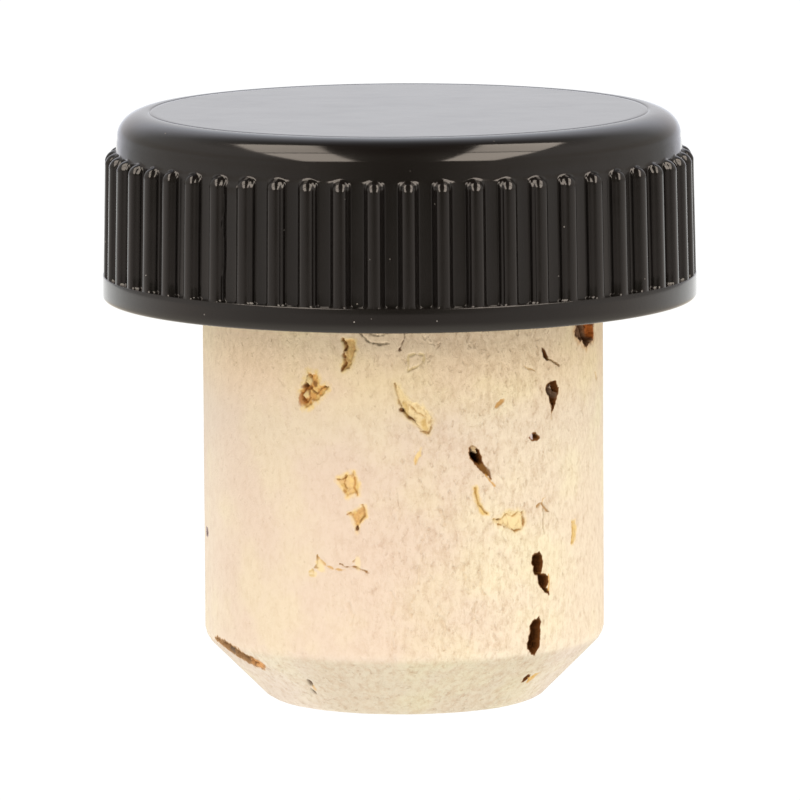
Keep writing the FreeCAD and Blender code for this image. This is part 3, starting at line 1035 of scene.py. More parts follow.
# What the front of this shank shows, from the head down. Later ones lie over earlier ones.
FEATURES = [
    # knot under the head at the right: grey-brown, with a dark middle and a rusty right side
    Pore([(58.6, 19.7), (67.5, 19.7), (70.7, 18.9), (70.5, 17.9), (66, 17.6), (62.4, 17.85),
          (58.4, 18.3)], 0.35, floor="#75553c", lip="#b07a3a", lip_width=0.35, ragged=0.12),
    Fleck(66.5, 18.35, 0.2, 0.6, -35, DARK, 1.0, -0.4),
    Fleck(69.6, 18.3, 0.22, 0.5, -30, "#9c5218", 0.9, 0.1),
    Fleck(61.5, 18.7, 0.16, 0.35, 30, BROWN, 0.7),
    Fleck(60.2, 19.1, 0.1, 0.2, 0, LILAC, 0.7),
    # wedge with a long thin tail
    Pore([(43.0, 17.97), (44.2, 17.8), (45.6, 17.5), (46.2, 17.35), (45.0, 17.32), (43.6, 17.55)],
         1.0, lip_width=0.05, ragged=0.03),
    Line([(45.8, 17.4), (48.0, 17.2), (50.6, 16.98)], 0.1, 0.1, "#7a5a30", 0.9),
    # dark pore below it, its right half filled with bark dust
    Pore([(48.6, 16.29), (49.9, 15.93), (49.6, 15.6), (48.6, 15.28), (48.0, 15.0), (47.2, 14.75),
          (46.6, 15.1), (46.2, 15.45), (45.3, 15.6), (44.5, 15.96), (45.6, 16.2), (46.8, 16.22)],
         1.3),
    Fleck(48.4, 15.8, 0.12, 0.34, -10, GREY_BROWN, 0.8, 0.9),
    Fleck(48.6, 15.95, 0.05, 0.08, 0, PALE, 0.8, 0.1),
    Line([(47.3, 14.8), (47.0, 14.45)], 0.05, 0.1, AMBER, 0.7),
    # small pore, half lilac-white and half dark
    Pore([(38.3, 13.71), (39.4, 13.85), (40.6, 13.91), (41.4, 13.8), (42.2, 13.6), (41.2, 13.45),
          (40.4, 13.51), (39.2, 13.55)], 0.3, floor=BROWN, lip_width=0.05),
    Fleck(39.2, 13.72, 0.15, 0.09, 70, LILAC, 0.95, 0.3),
    Fleck(41.0, 13.72, 0.07, 0.13, -40, DARK, 1.0, -0.15),
    # teardrop, pale above and dark in the middle, with a thin tail to the lower right
    Pore([(18.6, 13.18), (18.9, 13.4), (19.6, 13.5), (20.8, 13.42), (21.8, 13.28), (22.4, 12.87),
          (23.0, 12.6), (23.6, 12.45), (24.4, 12.2), (25.6, 11.85), (24.2, 12.05), (23.2, 12.18),
          (22.3, 12.3), (21.5, 12.47), (20.6, 12.65), (19.8, 12.83), (19.1, 12.95)], 1.4),
    Fleck(20.3, 13.32, 0.24, 0.16, 50, "#a8916e", 0.95, 1.6),
    Fleck(23.2, 12.35, 0.15, 0.5, -52, "#65441c", 0.9, 1.5),
    Line([(23.6, 12.1), (24.8, 11.85), (26.6, 11.5)], 0.08, 0.05, AMBER, 0.8),
    # two pores, one above the other, joined by a pale bridge
    Pore([(39.2, 7.85), (40.2, 8.02), (42, 8.12), (42.9, 7.88), (43.1, 7.5), (42.6, 7.09),
          (41.6, 6.95), (40, 7.0), (39.5, 7.2), (39.8, 7.42), (39.1, 7.6)], 1.3),
    Fleck(40.6, 6.82, 0.1, 0.12, 0, PALE, 0.9, 0.1),
    Pore([(41.0, 6.95), (42.4, 7.0), (44, 6.93), (44.9, 6.8), (45.2, 6.54), (44.6, 6.3),
          (45.3, 6.1), (45.7, 5.9), (44.6, 5.98), (43.6, 6.15), (42.4, 6.35), (41.4, 6.61)], 1.2),
    Line([(45.4, 6.9), (45.8, 6.5), (45.6, 6.15)], 0.1, 0.02, AMBER, 0.8),
    # long jagged pore near the lower end
    Pore([(41.7, 4.97), (42.3, 4.67), (42.0, 4.4), (42.2, 4.2), (41.9, 3.96), (41.8, 3.6),
          (41.3, 3.4), (40.9, 3.25), (40.6, 3.02), (39.6, 3.1), (38.6, 3.24), (37.4, 3.42),
          (37.3, 3.7), (37.9, 3.85), (37.8, 4.04), (38.6, 4.3), (38.5, 4.5), (39.3, 4.75),
          (40.1, 4.86), (40.8, 4.8)], 1.5, ragged=0.03, lip_strength=0.35),
    # pore in the chamfer: a dark hole, and straw to its right
    Pore([(44.0, 1.66), (44.6, 1.85), (45.6, 1.86), (46.3, 1.7), (45.6, 1.5), (44.6, 1.48)], 0.4,
         lip=STRAW),
    Pore([(46.3, 1.66), (48.0, 1.9), (50.3, 1.85), (49.4, 1.55), (47.7, 1.38)], 0.12, floor=STRAW,
         lip_width=0.05),
    # two tiny holes side by side in the chamfer at the left
    Fleck(-33.8, 1.68, 0.16, 0.15, 30, DARK, 1.0, -0.3),
    Fleck(-34.8, 1.2, 0.2, 0.14, 60, DARK, 1.0, -0.3),
    Fleck(-33.2, 1.4, 0.1, 0.2, 0, AMBER, 0.5, 0.0),
    # chipped edge
    Pore([(-71.6, 3.3), (-68.5, 3.42), (-65.7, 3.38), (-62.2, 3.32), (-58.6, 3.22), (-56.3, 3.05),
          (-54.6, 2.85), (-52.2, 2.72), (-49.8, 2.65), (-48.9, 2.4), (-51.6, 2.18), (-55.5, 2.2),
          (-58.7, 2.35), (-62.5, 2.65), (-66.3, 3.0)], 0.45, floor="#8c6c4a", lip="#b48a58",
         lip_width=0.12, lip_strength=0.6, ragged=0.12, wall=0.2),
    Fleck(-63.5, 2.95, 0.4, 0.14, 65, "#5d5044", 0.8, -0.1),
    Fleck(-57.6, 2.7, 0.1, 0.3, -40, BROWN, 0.8, -0.1),
    Fleck(-52.6, 2.42, 0.26, 0.62, 90, "#b5834f", 0.85, 0.2),
    Line([(-54.8, 2.7), (-53.9, 2.3)], 0.07, 0.06, BROWN, 0.8),
    Line([(-53.0, 2.65), (-52.2, 2.25)], 0.06, 0.05, "#7d4c26", 0.8),
    Line([(-51.4, 2.62), (-50.6, 2.28)], 0.06, 0.05, "#7d4c26", 0.7),
    # notch at the left edge
    Pore([(-82.0, 8.52), (-79, 8.5), (-77.6, 8.3), (-78.6, 8.1), (-81.4, 8.15)], 0.35,
         floor="#857a7c", lip=PALE),

    # amber pore below the head at the left, full of dust in light ovals
    Pore([(-30.8, 16.08), (-28.6, 16.5), (-27.7, 17.06), (-25.6, 17.0), (-24.5, 16.48),
          (-21.9, 16.37), (-23.4, 16.0), (-25.4, 15.73), (-27.0, 15.5), (-29, 15.32),
          (-29.8, 15.7)], 0.14, floor="#bd8334", lip=STRAW, lip_width=0.35, lip_strength=0.9,
         ragged=0.12),
    Fleck(-29.6, 15.75, 0.24, 0.45, 15, "#915518", 0.8, -0.02),
    Fleck(-28.3, 16.3, 0.26, 0.14, 0, "#7c4a1a", 0.8, -0.04),
    Fleck(-28.6, 15.95, 0.16, 0.2, 20, "#c6b07f", 0.9, 0.08),
    Line([(-29.9, 15.9), (-29.0, 16.25), (-27.9, 16.2), (-27.6, 15.8), (-28.6, 15.55),
          (-29.6, 15.7), (-29.9, 15.9)], 0.07, 0.08, "#743f14", 0.85),
    Fleck(-27.9, 16.65, 0.17, 0.2, -20, "#c6b07f", 0.9, 0.08),
    Line([(-28.7, 16.5), (-28.2, 16.9), (-27.2, 16.95), (-26.8, 16.6), (-27.6, 16.35)], 0.07, 0.08,
         BROWN, 0.85),
    Fleck(-28.7, 16.4, 0.1, 0.14, 40, DARK, 0.9, -0.12),
    Fleck(-25.9, 16.45, 0.13, 0.16, 0, BROWN, 0.8, 0.0),
    Line([(-27.6, 16.3), (-25.6, 16.0), (-23.8, 16.3), (-21.6, 16.4)], 0.08, 0.08, BROWN, 0.7),
    # amber patch with a jagged dark left edge
    Pore([(-17.2, 18.66), (-15.5, 18.75), (-13.9, 18.68), (-13.3, 18.24), (-14.3, 17.8),
          (-15.2, 17.29), (-17.0, 17.2), (-17.5, 17.5), (-16.6, 18.0)], 0.12, floor=OCHRE,
         lip=STRAW, lip_width=0.2, lip_strength=0.8),
    Line([(-17.2, 18.7), (-16.3, 18.35), (-17.1, 18.0), (-16.5, 17.6), (-17.4, 17.25)], 0.16, 0.1,
         "#7a4a1c", 0.9),
    # grey folds under the rim
    Line([(-12.5, 19.15), (-10.3, 18.66), (-6.7, 18.48), (-4, 18.55)], 0.12, 0.06, "#746650", 0.7),
    Line([(-10.6, 19.3), (-9.0, 18.98), (-6.4, 18.9), (-4.4, 19.1)], 0.1, 0.06, "#746650", 0.55),
    # dark line that ends in a dot
    Line([(0.6, 19.2), (0.2, 18.75), (-0.8, 18.3)], 0.07, 0.06, "#654e39", 0.7),
    Fleck(-0.9, 18.25, 0.09, 0.09, 0, BROWN, 0.8, -0.08),
    # pale yellow box outline
    Line([(1.6, 17.96), (3.6, 18.05), (5.8, 17.98), (5.6, 17.6), (3.4, 17.4), (1, 17.19),
          (1.2, 17.6), (1.6, 17.96)], 0.14, 0.04, "#bda87c", 0.75),
    # slanting pale-yellow lenticel with dark spots along its lower side
    Pore([(-2.6, 16.7), (-1.2, 16.5), (1.3, 15.83), (3.6, 15.7), (5.7, 15.48), (7.4, 15.1),
          (8.4, 14.8), (7.8, 14.4), (6.8, 14.19), (4.8, 14.34), (3.0, 14.75), (1.2, 14.95),
          (-0.2, 15.2), (-1.4, 15.7), (-2.2, 16.2)], 0.1, floor="#d0bb8c", lip="#ccb98f",
         lip_width=0.25, lip_strength=0.6),
    Fleck(-0.4, 15.33, 0.17, 0.11, 20, BROWN, 0.95, -0.12),
    Line([(-0.2, 15.3), (0.9, 15.12), (1.7, 14.95), (2.7, 14.9), (3.5, 14.8)], 0.12, 0.1, BROWN,
         0.95),
    Fleck(0.8, 15.3, 0.4, 0.14, 75, "#b99b5c", 0.6, 0.0),
    Fleck(6.0, 14.55, 0.4, 0.14, 75, "#b99b5c", 0.6, 0.0),
    Line([(-2.4, 16.64), (-1.6, 15.9), (-0.6, 15.5)], 0.08, 0.06, "#987240", 0.7),
    Line([(1.8, 15.6), (4.0, 15.2), (6.4, 14.95)], 0.07, 0.05, "#aa8248", 0.7),
    Line([(4.6, 14.35), (6.9, 14.2), (8.2, 14.6)], 0.08, 0.05, "#987240", 0.7),
    # faint amber below it
    Fleck(3.9, 13.05, 0.12, 0.45, 25, STRAW, 0.75, -0.03),
    Line([(2.8, 13.35), (3.6, 13.0), (3.4, 12.7)], 0.06, 0.04, AMBER, 0.6),
    # two amber pores left of the middle
    Pore([(-19.1, 11.93), (-17.2, 12.1), (-14.3, 12.34), (-13.3, 11.81), (-13, 11.27),
          (-14.4, 11.25), (-16.2, 11.13), (-17.4, 11.6)], 0.12, floor="#c2a16b", lip=STRAW,
         lip_width=0.25, lip_strength=0.8),
    Line([(-19.2, 11.95), (-17.6, 11.95), (-16.9, 12.05)], 0.08, 0.05, "#96692f", 0.7),
    Line([(-16.7, 12.15), (-17.4, 11.75), (-16.5, 11.5)], 0.09, 0.05, "#96692f", 0.7),
    Fleck(-17.0, 11.4, 0.08, 0.16, -40, "#96692f", 0.7, -0.05),
    Line([(-14.6, 12.2), (-14.0, 11.8), (-14.3, 11.5), (-13.3, 11.2)], 0.09, 0.04, "#a57539",
         0.75),
    Pore([(-15.5, 10.29), (-14.1, 10.35), (-11.9, 10.62), (-11.2, 10.66), (-10.9, 10.2),
          (-12.0, 9.95), (-12.9, 9.8), (-13.4, 9.45), (-14.3, 10.0)], 0.12, floor="#b5894b",
         lip=STRAW, lip_width=0.2, lip_strength=0.7),
    Line([(-16.4, 10.2), (-15.2, 10.33)], 0.07, 0.05, "#96692f", 0.7),
    Fleck(-13.4, 9.62, 0.09, 0.1, 0, BROWN, 0.9, -0.1),
    Line([(-11.7, 10.75), (-11.4, 10.2), (-12.6, 9.9)], 0.08, 0.05, "#8a6231", 0.7),
    # thin outlined patches further down
    Line([(-25.4, 8.2), (-24.4, 7.95), (-22.9, 7.75), (-20.6, 7.6), (-17.0, 7.55)], 0.11, 0.04,
         "#b08a48", 0.75),
    Line([(-25.4, 8.2), (-25.4, 7.8), (-26.0, 7.62), (-25.0, 7.6)], 0.09, 0.05, "#94733d", 0.75),
    Line([(-27.9, 7.37), (-26.7, 7.5), (-26.6, 7.2), (-27.9, 7.2)], 0.08, 0.04, "#a5854b", 0.75),
    Fleck(-24.6, 7.7, 0.35, 0.22, 60, "#cab788", 0.7, 0.0),
    Fleck(-27.0, 7.3, 0.22, 0.2, 0, "#cab788", 0.6, 0.0),
    Line([(-18.4, 7.85), (-16.9, 7.7), (-15.4, 7.72), (-13.8, 7.72), (-12.0, 7.58), (-10, 7.45)],
         0.09, 0.07, "#8a6432", 0.9),
    Line([(-14.6, 8.0), (-13.6, 8.12)], 0.08, 0.04, "#a08357", 0.7),
    Fleck(-13.2, 7.9, 0.4, 0.16, 90, "#cbb990", 0.6, 0.0),
    # amber arc at the middle right
    Pore([(20.0, 11.5), (20.9, 11.62), (21.3, 11.2), (21.9, 10.8), (23.2, 10.45), (24.4, 10.15),
          (23.0, 10.15), (21.3, 10.45), (20.4, 10.9)], 0.06, floor="#c5a969", lip=STRAW,
         lip_width=0.15, lip_strength=0.5),
    Line([(20.6, 11.5), (20.9, 11.0), (21.6, 10.6), (22.9, 10.45), (24.2, 10.2)], 0.09, 0.05,
         "#9a7438", 0.8),
    # yellow patch with a brown outline below and to the right
    Pore([(26.1, 9.87), (28.5, 9.95), (30.9, 10.24), (33.6, 10.26), (35.9, 10.13), (36.5, 9.75),
          (35.8, 9.3), (33.4, 9.25), (30.8, 9.38), (28, 9.6)], 0.1, floor="#cfbc8d", lip="#ccb98f",
         lip_width=0.22, lip_strength=0.6),
    Line([(27.4, 9.62), (30.6, 9.4), (33.3, 9.24), (35.9, 9.3), (36.5, 9.75), (35.8, 10.1)], 0.08,
         0.08, "#906831", 0.85),
    Line([(26.1, 9.9), (28.6, 9.85), (30.6, 10.1), (32.6, 9.95), (34.4, 10.15)], 0.07, 0.05,
         "#a47b3b", 0.75),
    Fleck(27.7, 9.86, 0.09, 0.07, 0, BROWN, 0.7, -0.05),
    # amber branch with a thin upright crack below it
    Line([(41.1, 10.28), (42.4, 10.42), (43.4, 10.34), (44.5, 10.1), (45.6, 9.95)], 0.12, 0.08,
         "#a07a42", 0.8),
    Line([(42.9, 10.4), (43.3, 10.6), (44.4, 10.66)], 0.08, 0.04, AMBER, 0.6),
    Line([(43.3, 10.3), (43.6, 9.8), (43.4, 9.3), (43.8, 8.9)], 0.05, 0.08, "#886641", 0.7),
    # amber crack at the right
    Pore([(56.2, 9.3), (58.0, 9.28), (58.4, 8.8), (57.6, 8.3), (55.6, 8.15), (56.3, 8.7)], 0.08,
         floor="#c2a566", lip=STRAW, lip_width=0.15, lip_strength=0.5),
    Line([(56.9, 9.25), (57.1, 8.9), (57, 8.6), (55.6, 8.24)], 0.14, 0.1, "#95652b", 0.9),
    # upright folds of the ground surface, faint and broken
    Line([(5.8, 9.35), (4.6, 8.8), (5.1, 8.2), (3.9, 7.6), (3.9, 7.0)], 0.17, 0.05, FOLD, 0.15),
    Line([(2.9, 6.4), (1.5, 5.9), (2.2, 5.3)], 0.17, 0.04, FOLD, 0.14),
    Line([(10.0, 10.5), (11.6, 10.1), (11.0, 9.75)], 0.17, 0.05, FOLD, 0.17),
    Line([(-2.6, 10.65), (-1.2, 10.45), (-1.3, 10.1)], 0.17, 0.04, FOLD, 0.15),
    Line([(21.6, 7.9), (22.8, 7.3), (22.0, 6.9), (23.2, 6.3)], 0.19, 0.05, FOLD, 0.20),
    Line([(20.6, 5.9), (19.6, 5.6), (20.2, 5.2)], 0.19, 0.05, FOLD, 0.17),
    Line([(16.4, 7.9), (17.6, 7.2), (17.0, 6.8), (18.3, 6.4)], 0.19, 0.05, FOLD, 0.17),
    Line([(10.2, 5.3), (11.4, 4.7), (10.4, 4.2), (11.2, 3.75)], 0.19, 0.05, FOLD, 0.15),
    Line([(-15.9, 5.95), (-14.6, 5.4), (-15.3, 4.9)], 0.15, 0.04, FOLD, 0.11),
    Line([(-3.9, 6.6), (-2.7, 6.1), (-3.6, 5.5)], 0.17, 0.04, FOLD, 0.14),
    Line([(-2.9, 4.6), (-3.9, 4.2), (-3.3, 3.8)], 0.17, 0.04, FOLD, 0.13),
    Line([(27.4, 7.2), (28.3, 6.6), (27.6, 6.0)], 0.17, 0.04, FOLD, 0.14),
    # small amber teardrops
    Fleck(28.2, 15.47, 0.13, 0.3, 60, "#a87c3a", 0.85, -0.05),
    Line([(36.7, 17.17), (38.2, 17.0), (40.2, 16.91)], 0.09, 0.05, "#b28c55", 0.8),
    Fleck(73.6, 16.0, 0.14, 0.35, -40, "#bca077", 0.7, -0.05),
]

BACK_SEED = 11
BACK_FEATURES = 26
DEEP_SHARE = 0.45  # of the lenticels at the back; the rest are full of bark dust


def back_features(radius):
    """Lenticels for the side that faces away, of the same kinds as on the front."""
    draw = random.Random(BACK_SEED)
    found = []
    while len(found) < BACK_FEATURES:
        angle, height = draw.uniform(85, 270), draw.uniform(1.0, 19.0)
        wide, tall = draw.uniform(0.12, 0.34), draw.uniform(0.25, 0.85)
        lean = math.radians(draw.gauss(10, 28))
        kind = draw.random()
        steps = draw.randint(8, 12)
        outline = []
        for step in range(steps):
            turn = 2 * math.pi * step / steps
            swell = draw.uniform(0.72, 1.2)
            side, up = wide * swell * math.cos(turn), tall * swell * math.sin(turn)
            x = side * math.cos(lean) + up * math.sin(lean)
            y = height - side * math.sin(lean) + up * math.cos(lean)
            outline.append((angle + math.degrees(x / radius), y))
        if kind < DEEP_SHARE:
            found.append(Pore(outline, draw.uniform(0.7, 1.4)))
        else:
            floor = draw.choice([AMBER, STRAW, OCHRE])
            found.append(Pore(outline, 0.12, floor=floor, lip=STRAW, lip_width=0.2))
            found.append(Line(outline[:steps // 2], 0.08, 0.07, "#8a6432", 0.8))
    return found


FRAY = 0.08  # the most that wander moves a point


def wander(x, y):
    """Where a point of the unrolled surface lies among the features, whose edges this frays."""
    slow, fine = Vector((x * 2.4, y * 2.4, 1.5)), Vector((x * 7, y * 7, 4.5))
    shift = noise.noise_vector(slow) * 0.05 + noise.noise_vector(fine) * 0.028
    return x + shift.x, y + shift.y


# What the cork's colour is multiplied by: painted light below the head and at the sides, and a
# darker, greyer tint on the chamfer
# Painted light that lifts the head's shade from the cork below it
PAINTED_LIGHT_BELOW_HEAD = (1.25, 1.19, 1.0)
# Darker and greyer on the chamfer, most at the front and less at the sides
CHAMFER_FRONT_TINT, CHAMFER_SIDES_TINT = (0.83, 0.86, 0.8), (0.92, 0.95, 0.96)
# Painted light on the right and left sides of the cork
PAINTED_LIGHT_RIGHT, PAINTED_LIGHT_LEFT = (1.12, 1.18, 1.14), (1.05, 1.11, 1.14)


def tone_and_painted_light_at(angle, height):
    """The cork's tone, with painted light: lighter and warmer below the head, where the head
    shades the cork, and lighter at the sides; darker and greyer on the chamfer, most at the front."""
    below_head = smooth(14.0, 18.0, height)
    chamfer = 1 - smooth(2.9, 3.3, height)
    right = smooth(3, 35, angle) * (1 - smooth(95, 160, angle)) * (1 - 0.85 * below_head)
    left = smooth(-50, -80, angle) * (1 - smooth(-95, -160, angle))
    aside = max(smooth(-22, -45, angle), smooth(38, 60, angle))
    # The chamfer's tint, darker and greyer at the front than at the sides
    chamfer_tint = [mix(a, b, aside) for a, b in zip(CHAMFER_FRONT_TINT, CHAMFER_SIDES_TINT)]
    # Painted light below the head and at the sides, and the chamfer's tint
    shares = (
        (below_head, PAINTED_LIGHT_BELOW_HEAD), (chamfer, chamfer_tint), (right * (1 - chamfer), PAINTED_LIGHT_RIGHT),
        (left * (1 - chamfer), PAINTED_LIGHT_LEFT),
    )
    tone = [math.prod(mix(1, colour[n], share) for share, colour in shares) for n in range(3)]
    return (*tone, 1)


def torn_at(angle, height):
    """How much the grain is torn: least at the left, most at the front right, near the head
    and on the chamfer."""
    right = smooth(-28, 22, angle) * (1 - 0.5 * smooth(35, 60, angle))
    right *= 1 - smooth(110, 170, angle)
    top = smooth(15.5, 18.5, height)
    low = 1 - smooth(2.6, 3.6, height)
    return 0.28 + 0.5 * max(0.85 * right, 0.45 * top, 0.7 * low)


def fibrous_at(angle, height):
    """How clearly the upright fibres show: most at the right."""
    right = smooth(5, 45, angle) * (1 - smooth(110, 170, angle))
    return (0.12 + 0.38 * right) * smooth(2.8, 3.6, height)


def relief(x, height, radius, torn):
    """How far the ground surface lies below a true one."""
    slow = 0.5 + 0.5 * noise.noise(Vector((x * 0.35, height * 0.2, radius * 0.3)))
    grain = 0.5 + 0.5 * noise.noise(Vector((x * 2.2, height * 0.7, 9.0 + radius)))
    return 0.03 * slow + 0.02 * grain * torn


@dataclass
class Placed:
    """A feature on the unrolled surface: its points there, and the corners of the box that it
    reaches."""

    feature: object
    points: list
    low: tuple
    high: tuple

    def reaches(self, x, y, pad):
        """Whether it reaches a point, or a cell round it."""
        return (
            self.low[0] - pad <= x <= self.high[0] + pad
            and self.low[1] - pad <= y <= self.high[1] + pad
        )


def place(feature, radius):
    """A feature with its points unrolled from a shank of a radius."""
    points = [(math.radians(angle) * radius, height) for angle, height in feature.points]
    xs, ys = zip(*points)
    reach = FRAY + feature.reach()
    low, high = (min(xs) - reach, min(ys) - reach), (max(xs) + reach, max(ys) + reach)
    return Placed(feature, points, low, high)


CORK_COLUMNS, CORK_ROWS = 192, 90
FINE = 8  # the finest cells are this many times smaller than the coarsest
FRONT_SHARE = 0.17  # of the girth to each side of the front, where no cell stays coarsest
END_RADIUS = 0.6  # innermost ring of the lower end
TOP_TAPER = 0.3  # radial, over the part inside the head
EASING = (-0.35, -0.12, 0.12, 0.35)  # runs whose mean rounds the outline's corners
HOLE_END_RADIUS = 1.5
PLAIN = ((0, 0, 0, 0), (1, 1, 1, 1), 0.0, 0.0)  # looks of the points that are out of sight


class CorkSkin:
    """The shank's surface, unrolled: x runs round it, from the back past the front to the
    back, and run goes along its outline from near the middle of the lower end to the top.
    It is split into square cells, finer where a feature shows. Columns, rows and sizes of
    cells are counted in the finest ones."""

    def __init__(self, cork):
        self.cork = cork
        self.corners = [
            (END_RADIUS, 0.0), (cork.radius - cork.chamfer, 0.0), (cork.radius, cork.chamfer),
            (cork.radius, cork.shown), (cork.radius - TOP_TAPER, cork.height),
        ]
        self.runs = [0.0]
        for (ar, az), (br, bz) in zip(self.corners, self.corners[1:]):
            self.runs.append(self.runs[-1] + math.hypot(br - ar, bz - az))
        self.girth = 2 * math.pi * cork.radius
        self.cell_wide = self.girth / CORK_COLUMNS / FINE
        self.cell_tall = self.runs[-1] / CORK_ROWS / FINE
        rows = range(CORK_ROWS * FINE + 1)
        self.row_heights = [self.outline(row * self.cell_tall)[1] for row in rows]
        features = FEATURES + back_features(cork.radius)
        self.features = [place(feature, cork.radius) for feature in features]

    def sharp_outline(self, run):
        """Radius and height at a run along the outline."""
        run = min(max(run, 0.0), self.runs[-1])
        n = next(n for n, end in enumerate(self.runs[1:]) if run <= end)
        share = (run - self.runs[n]) / (self.runs[n + 1] - self.runs[n])
        (ar, az), (br, bz) = self.corners[n], self.corners[n + 1]
        return mix(ar, br, share), mix(az, bz, share)

    def outline(self, run):
        """Radius and height at a run along the outline, with its edges eased."""
        eased = [self.sharp_outline(run + shift) for shift in EASING]
        return sum(r for r, _ in eased) / len(EASING), sum(z for _, z in eased) / len(EASING)

    def near(self, x, y, pad=0.0):
        """The features that reach a point, each with the point's x beside it."""
        for placed in self.features:
            for beside in (x, x + self.girth):
                if placed.reaches(beside, y, pad):
                    yield placed, beside

    def too_coarse(self, column, row, size):
        """Whether a cell is too coarse for what shows in it."""
        run = (row + size / 2) * self.cell_tall
        if run < self.runs[1] - 0.3 or run > self.runs[3] + 0.2:
            return False
        x = (column + size / 2) * self.cell_wide - self.girth / 2
        y = self.row_heights[min(row + size // 2, len(self.row_heights) - 1)]
        if size == FINE and abs(x) < self.girth * FRONT_SHARE:
            return True
        pad = size * self.cell_wide * 0.75
        return any(
            placed.feature.needs_finer(placed.points, beside, y, size, pad)
            for placed, beside in self.near(x, y, pad)
        )

    def cells(self):
        """The cells, each as its column, row and size."""
        done = []
        waiting = [
            (column * FINE, row * FINE, FINE)
            for row in range(CORK_ROWS) for column in range(CORK_COLUMNS)
        ]
        while waiting:
            i, j, size = waiting.pop()
            if size > 1 and self.too_coarse(i, j, size):
                half = size // 2
                waiting += [(i + a, j + b, half) for b in (0, half) for a in (0, half)]
            else:
                done.append((i, j, size))
        return done

    def shape(self, column, row):
        """The point at a cell's corner, rolled up again, and how it looks: what covers the
        cork there, the cork's tone with its painted light, and how torn and how fibrous it is."""
        x, run = column * self.cell_wide - self.girth / 2, row * self.cell_tall
        radius, height = self.outline(run)
        angle = math.degrees(x / self.cork.radius)
        surface = Surface()
        near = list(self.near(x, height))
        if near:
            frayed_x, frayed_y = wander(x, height)
            for placed, beside in near:
                beside += frayed_x - x
                placed.feature.carve(surface, placed.points, beside, frayed_y)
        before, after = self.outline(run - 0.05), self.outline(run + 0.05)
        out = Vector((after[1] - before[1], before[0] - after[0])).normalized()
        torn = torn_at(angle, height)
        cut = surface.cut + relief(x, height, radius, torn)
        point = point_at(angle, radius - out.x * cut, max(0.0, height - out.y * cut))
        cover = (*surface.colour, surface.cover)
        # The tone holds painted light below the head and at the sides
        looks = (cover, tone_and_painted_light_at(angle, height), torn, fibrous_at(angle, height))
        return (point[0] + self.cork.off_centre, *point[1:]), looks


def number_corners(cells):
    """A number for each corner of the cells, by its column and row."""
    corners = {}
    for i, j, size in cells:
        for a, b in ((i, j), (i + size, j), (i, j + size), (i + size, j + size)):
            corners.setdefault((a % (CORK_COLUMNS * FINE), b), len(corners))
    return corners


def cell_faces(cells, corners):
    """A face for each cell, with the corners of finer cells that lie along its sides."""
    faces = []
    for i, j, size in cells:
        side = range(size)
        loop = [(i + t, j) for t in side] + [(i + size, j + t) for t in side]
        loop += [(i + size - t, j + size) for t in side] + [(i, j + size - t) for t in side]
        keys = [(a % (CORK_COLUMNS * FINE), b) for a, b in loop]
        faces.append([corners[key] for key in keys if key in corners])
    return faces


class STOPPER_OT_cork_shank(bpy.types.Operator):
    """Build the cork shank, with its lenticels, cracks and chipped edge"""

    bl_idname = "stopper.cork_shank"
    bl_label = "Cork shank"

    def execute(self, context):
        cork = in_mm(context.scene.stopper_cork)
        skin = CorkSkin(cork)
        cells = skin.cells()
        corners = number_corners(cells)
        verts, looks = map(list, zip(*(skin.shape(*corner) for corner in corners)))
        faces = cell_faces(cells, corners)
        self.close_ends(cork, corners, verts, faces)
        material = ground_natural_cork(context.scene.stopper_cork.colour)
        piece = new_piece("cork_shank_natural", verts, faces, material, "cork_shank")
        self.keep_looks(piece.data, looks + [PLAIN] * (len(verts) - len(looks)))
        return {"FINISHED"}

    @staticmethod
    def close_ends(cork, corners, verts, faces):
        """The lower end's middle, and out of sight the top face and the hole for the stem."""
        bottom = [corners[(column * FINE, 0)] for column in range(CORK_COLUMNS)]
        close_ring(verts, faces, bottom[::-1], 0.0)
        before = [corners[(n * FINE, CORK_ROWS * FINE)] for n in range(CORK_COLUMNS)]
        for radius, height, aside in (
            (cork.hole_radius, cork.height, 0.0),
            (cork.hole_radius, cork.hole_end, cork.off_centre),
            (HOLE_END_RADIUS, cork.hole_end, cork.off_centre),
        ):
            after = ring(verts, CORK_COLUMNS, radius, height, 180)
            for n in after:
                x, y, z = verts[n]
                verts[n] = (x + aside, y, z)
            join_rings(faces, before, after)
            before = after
        close_ring(verts, faces, before, cork.hole_end)

    @staticmethod
    def keep_looks(mesh, looks):
        """Keeps each point's looks on the mesh, for the finish to read."""
        covers, tones, torn, fibrous = map(list, zip(*looks))
        for name, colours in (("lenticel", covers), ("tone", tones)):
            kept = mesh.attributes.new(name, "FLOAT_COLOR", "POINT")
            kept.data.foreach_set("color", [value for colour in colours for value in colour])
        for name, values in (("torn", torn), ("fibrous", fibrous)):
            kept = mesh.attributes.new(name, "FLOAT", "POINT")
            kept.data.foreach_set("value", values)


# Studio

# One softbox, above and in front at the left; the other is its mirror image. Metres.
SOFTBOX_CENTRE = Vector((-0.358, -0.249, 0.477))
SOFTBOX_ACROSS = Vector((-0.291, 0.052, -0.068))
SOFTBOX_ALONG = Vector((0.016, 0.767, 0.51))
SOFTBOX_PANELS = ((0.26, 0.95), (-0.26, 1.12))  # middle of each half, and its brightness
SOFTBOX_PANEL_LENGTH = 0.49
SOFTBOX_TINT = "#fff0e0"
SOFTBOX_RIGHT = 1.08  # the right one is a little brighter than the left

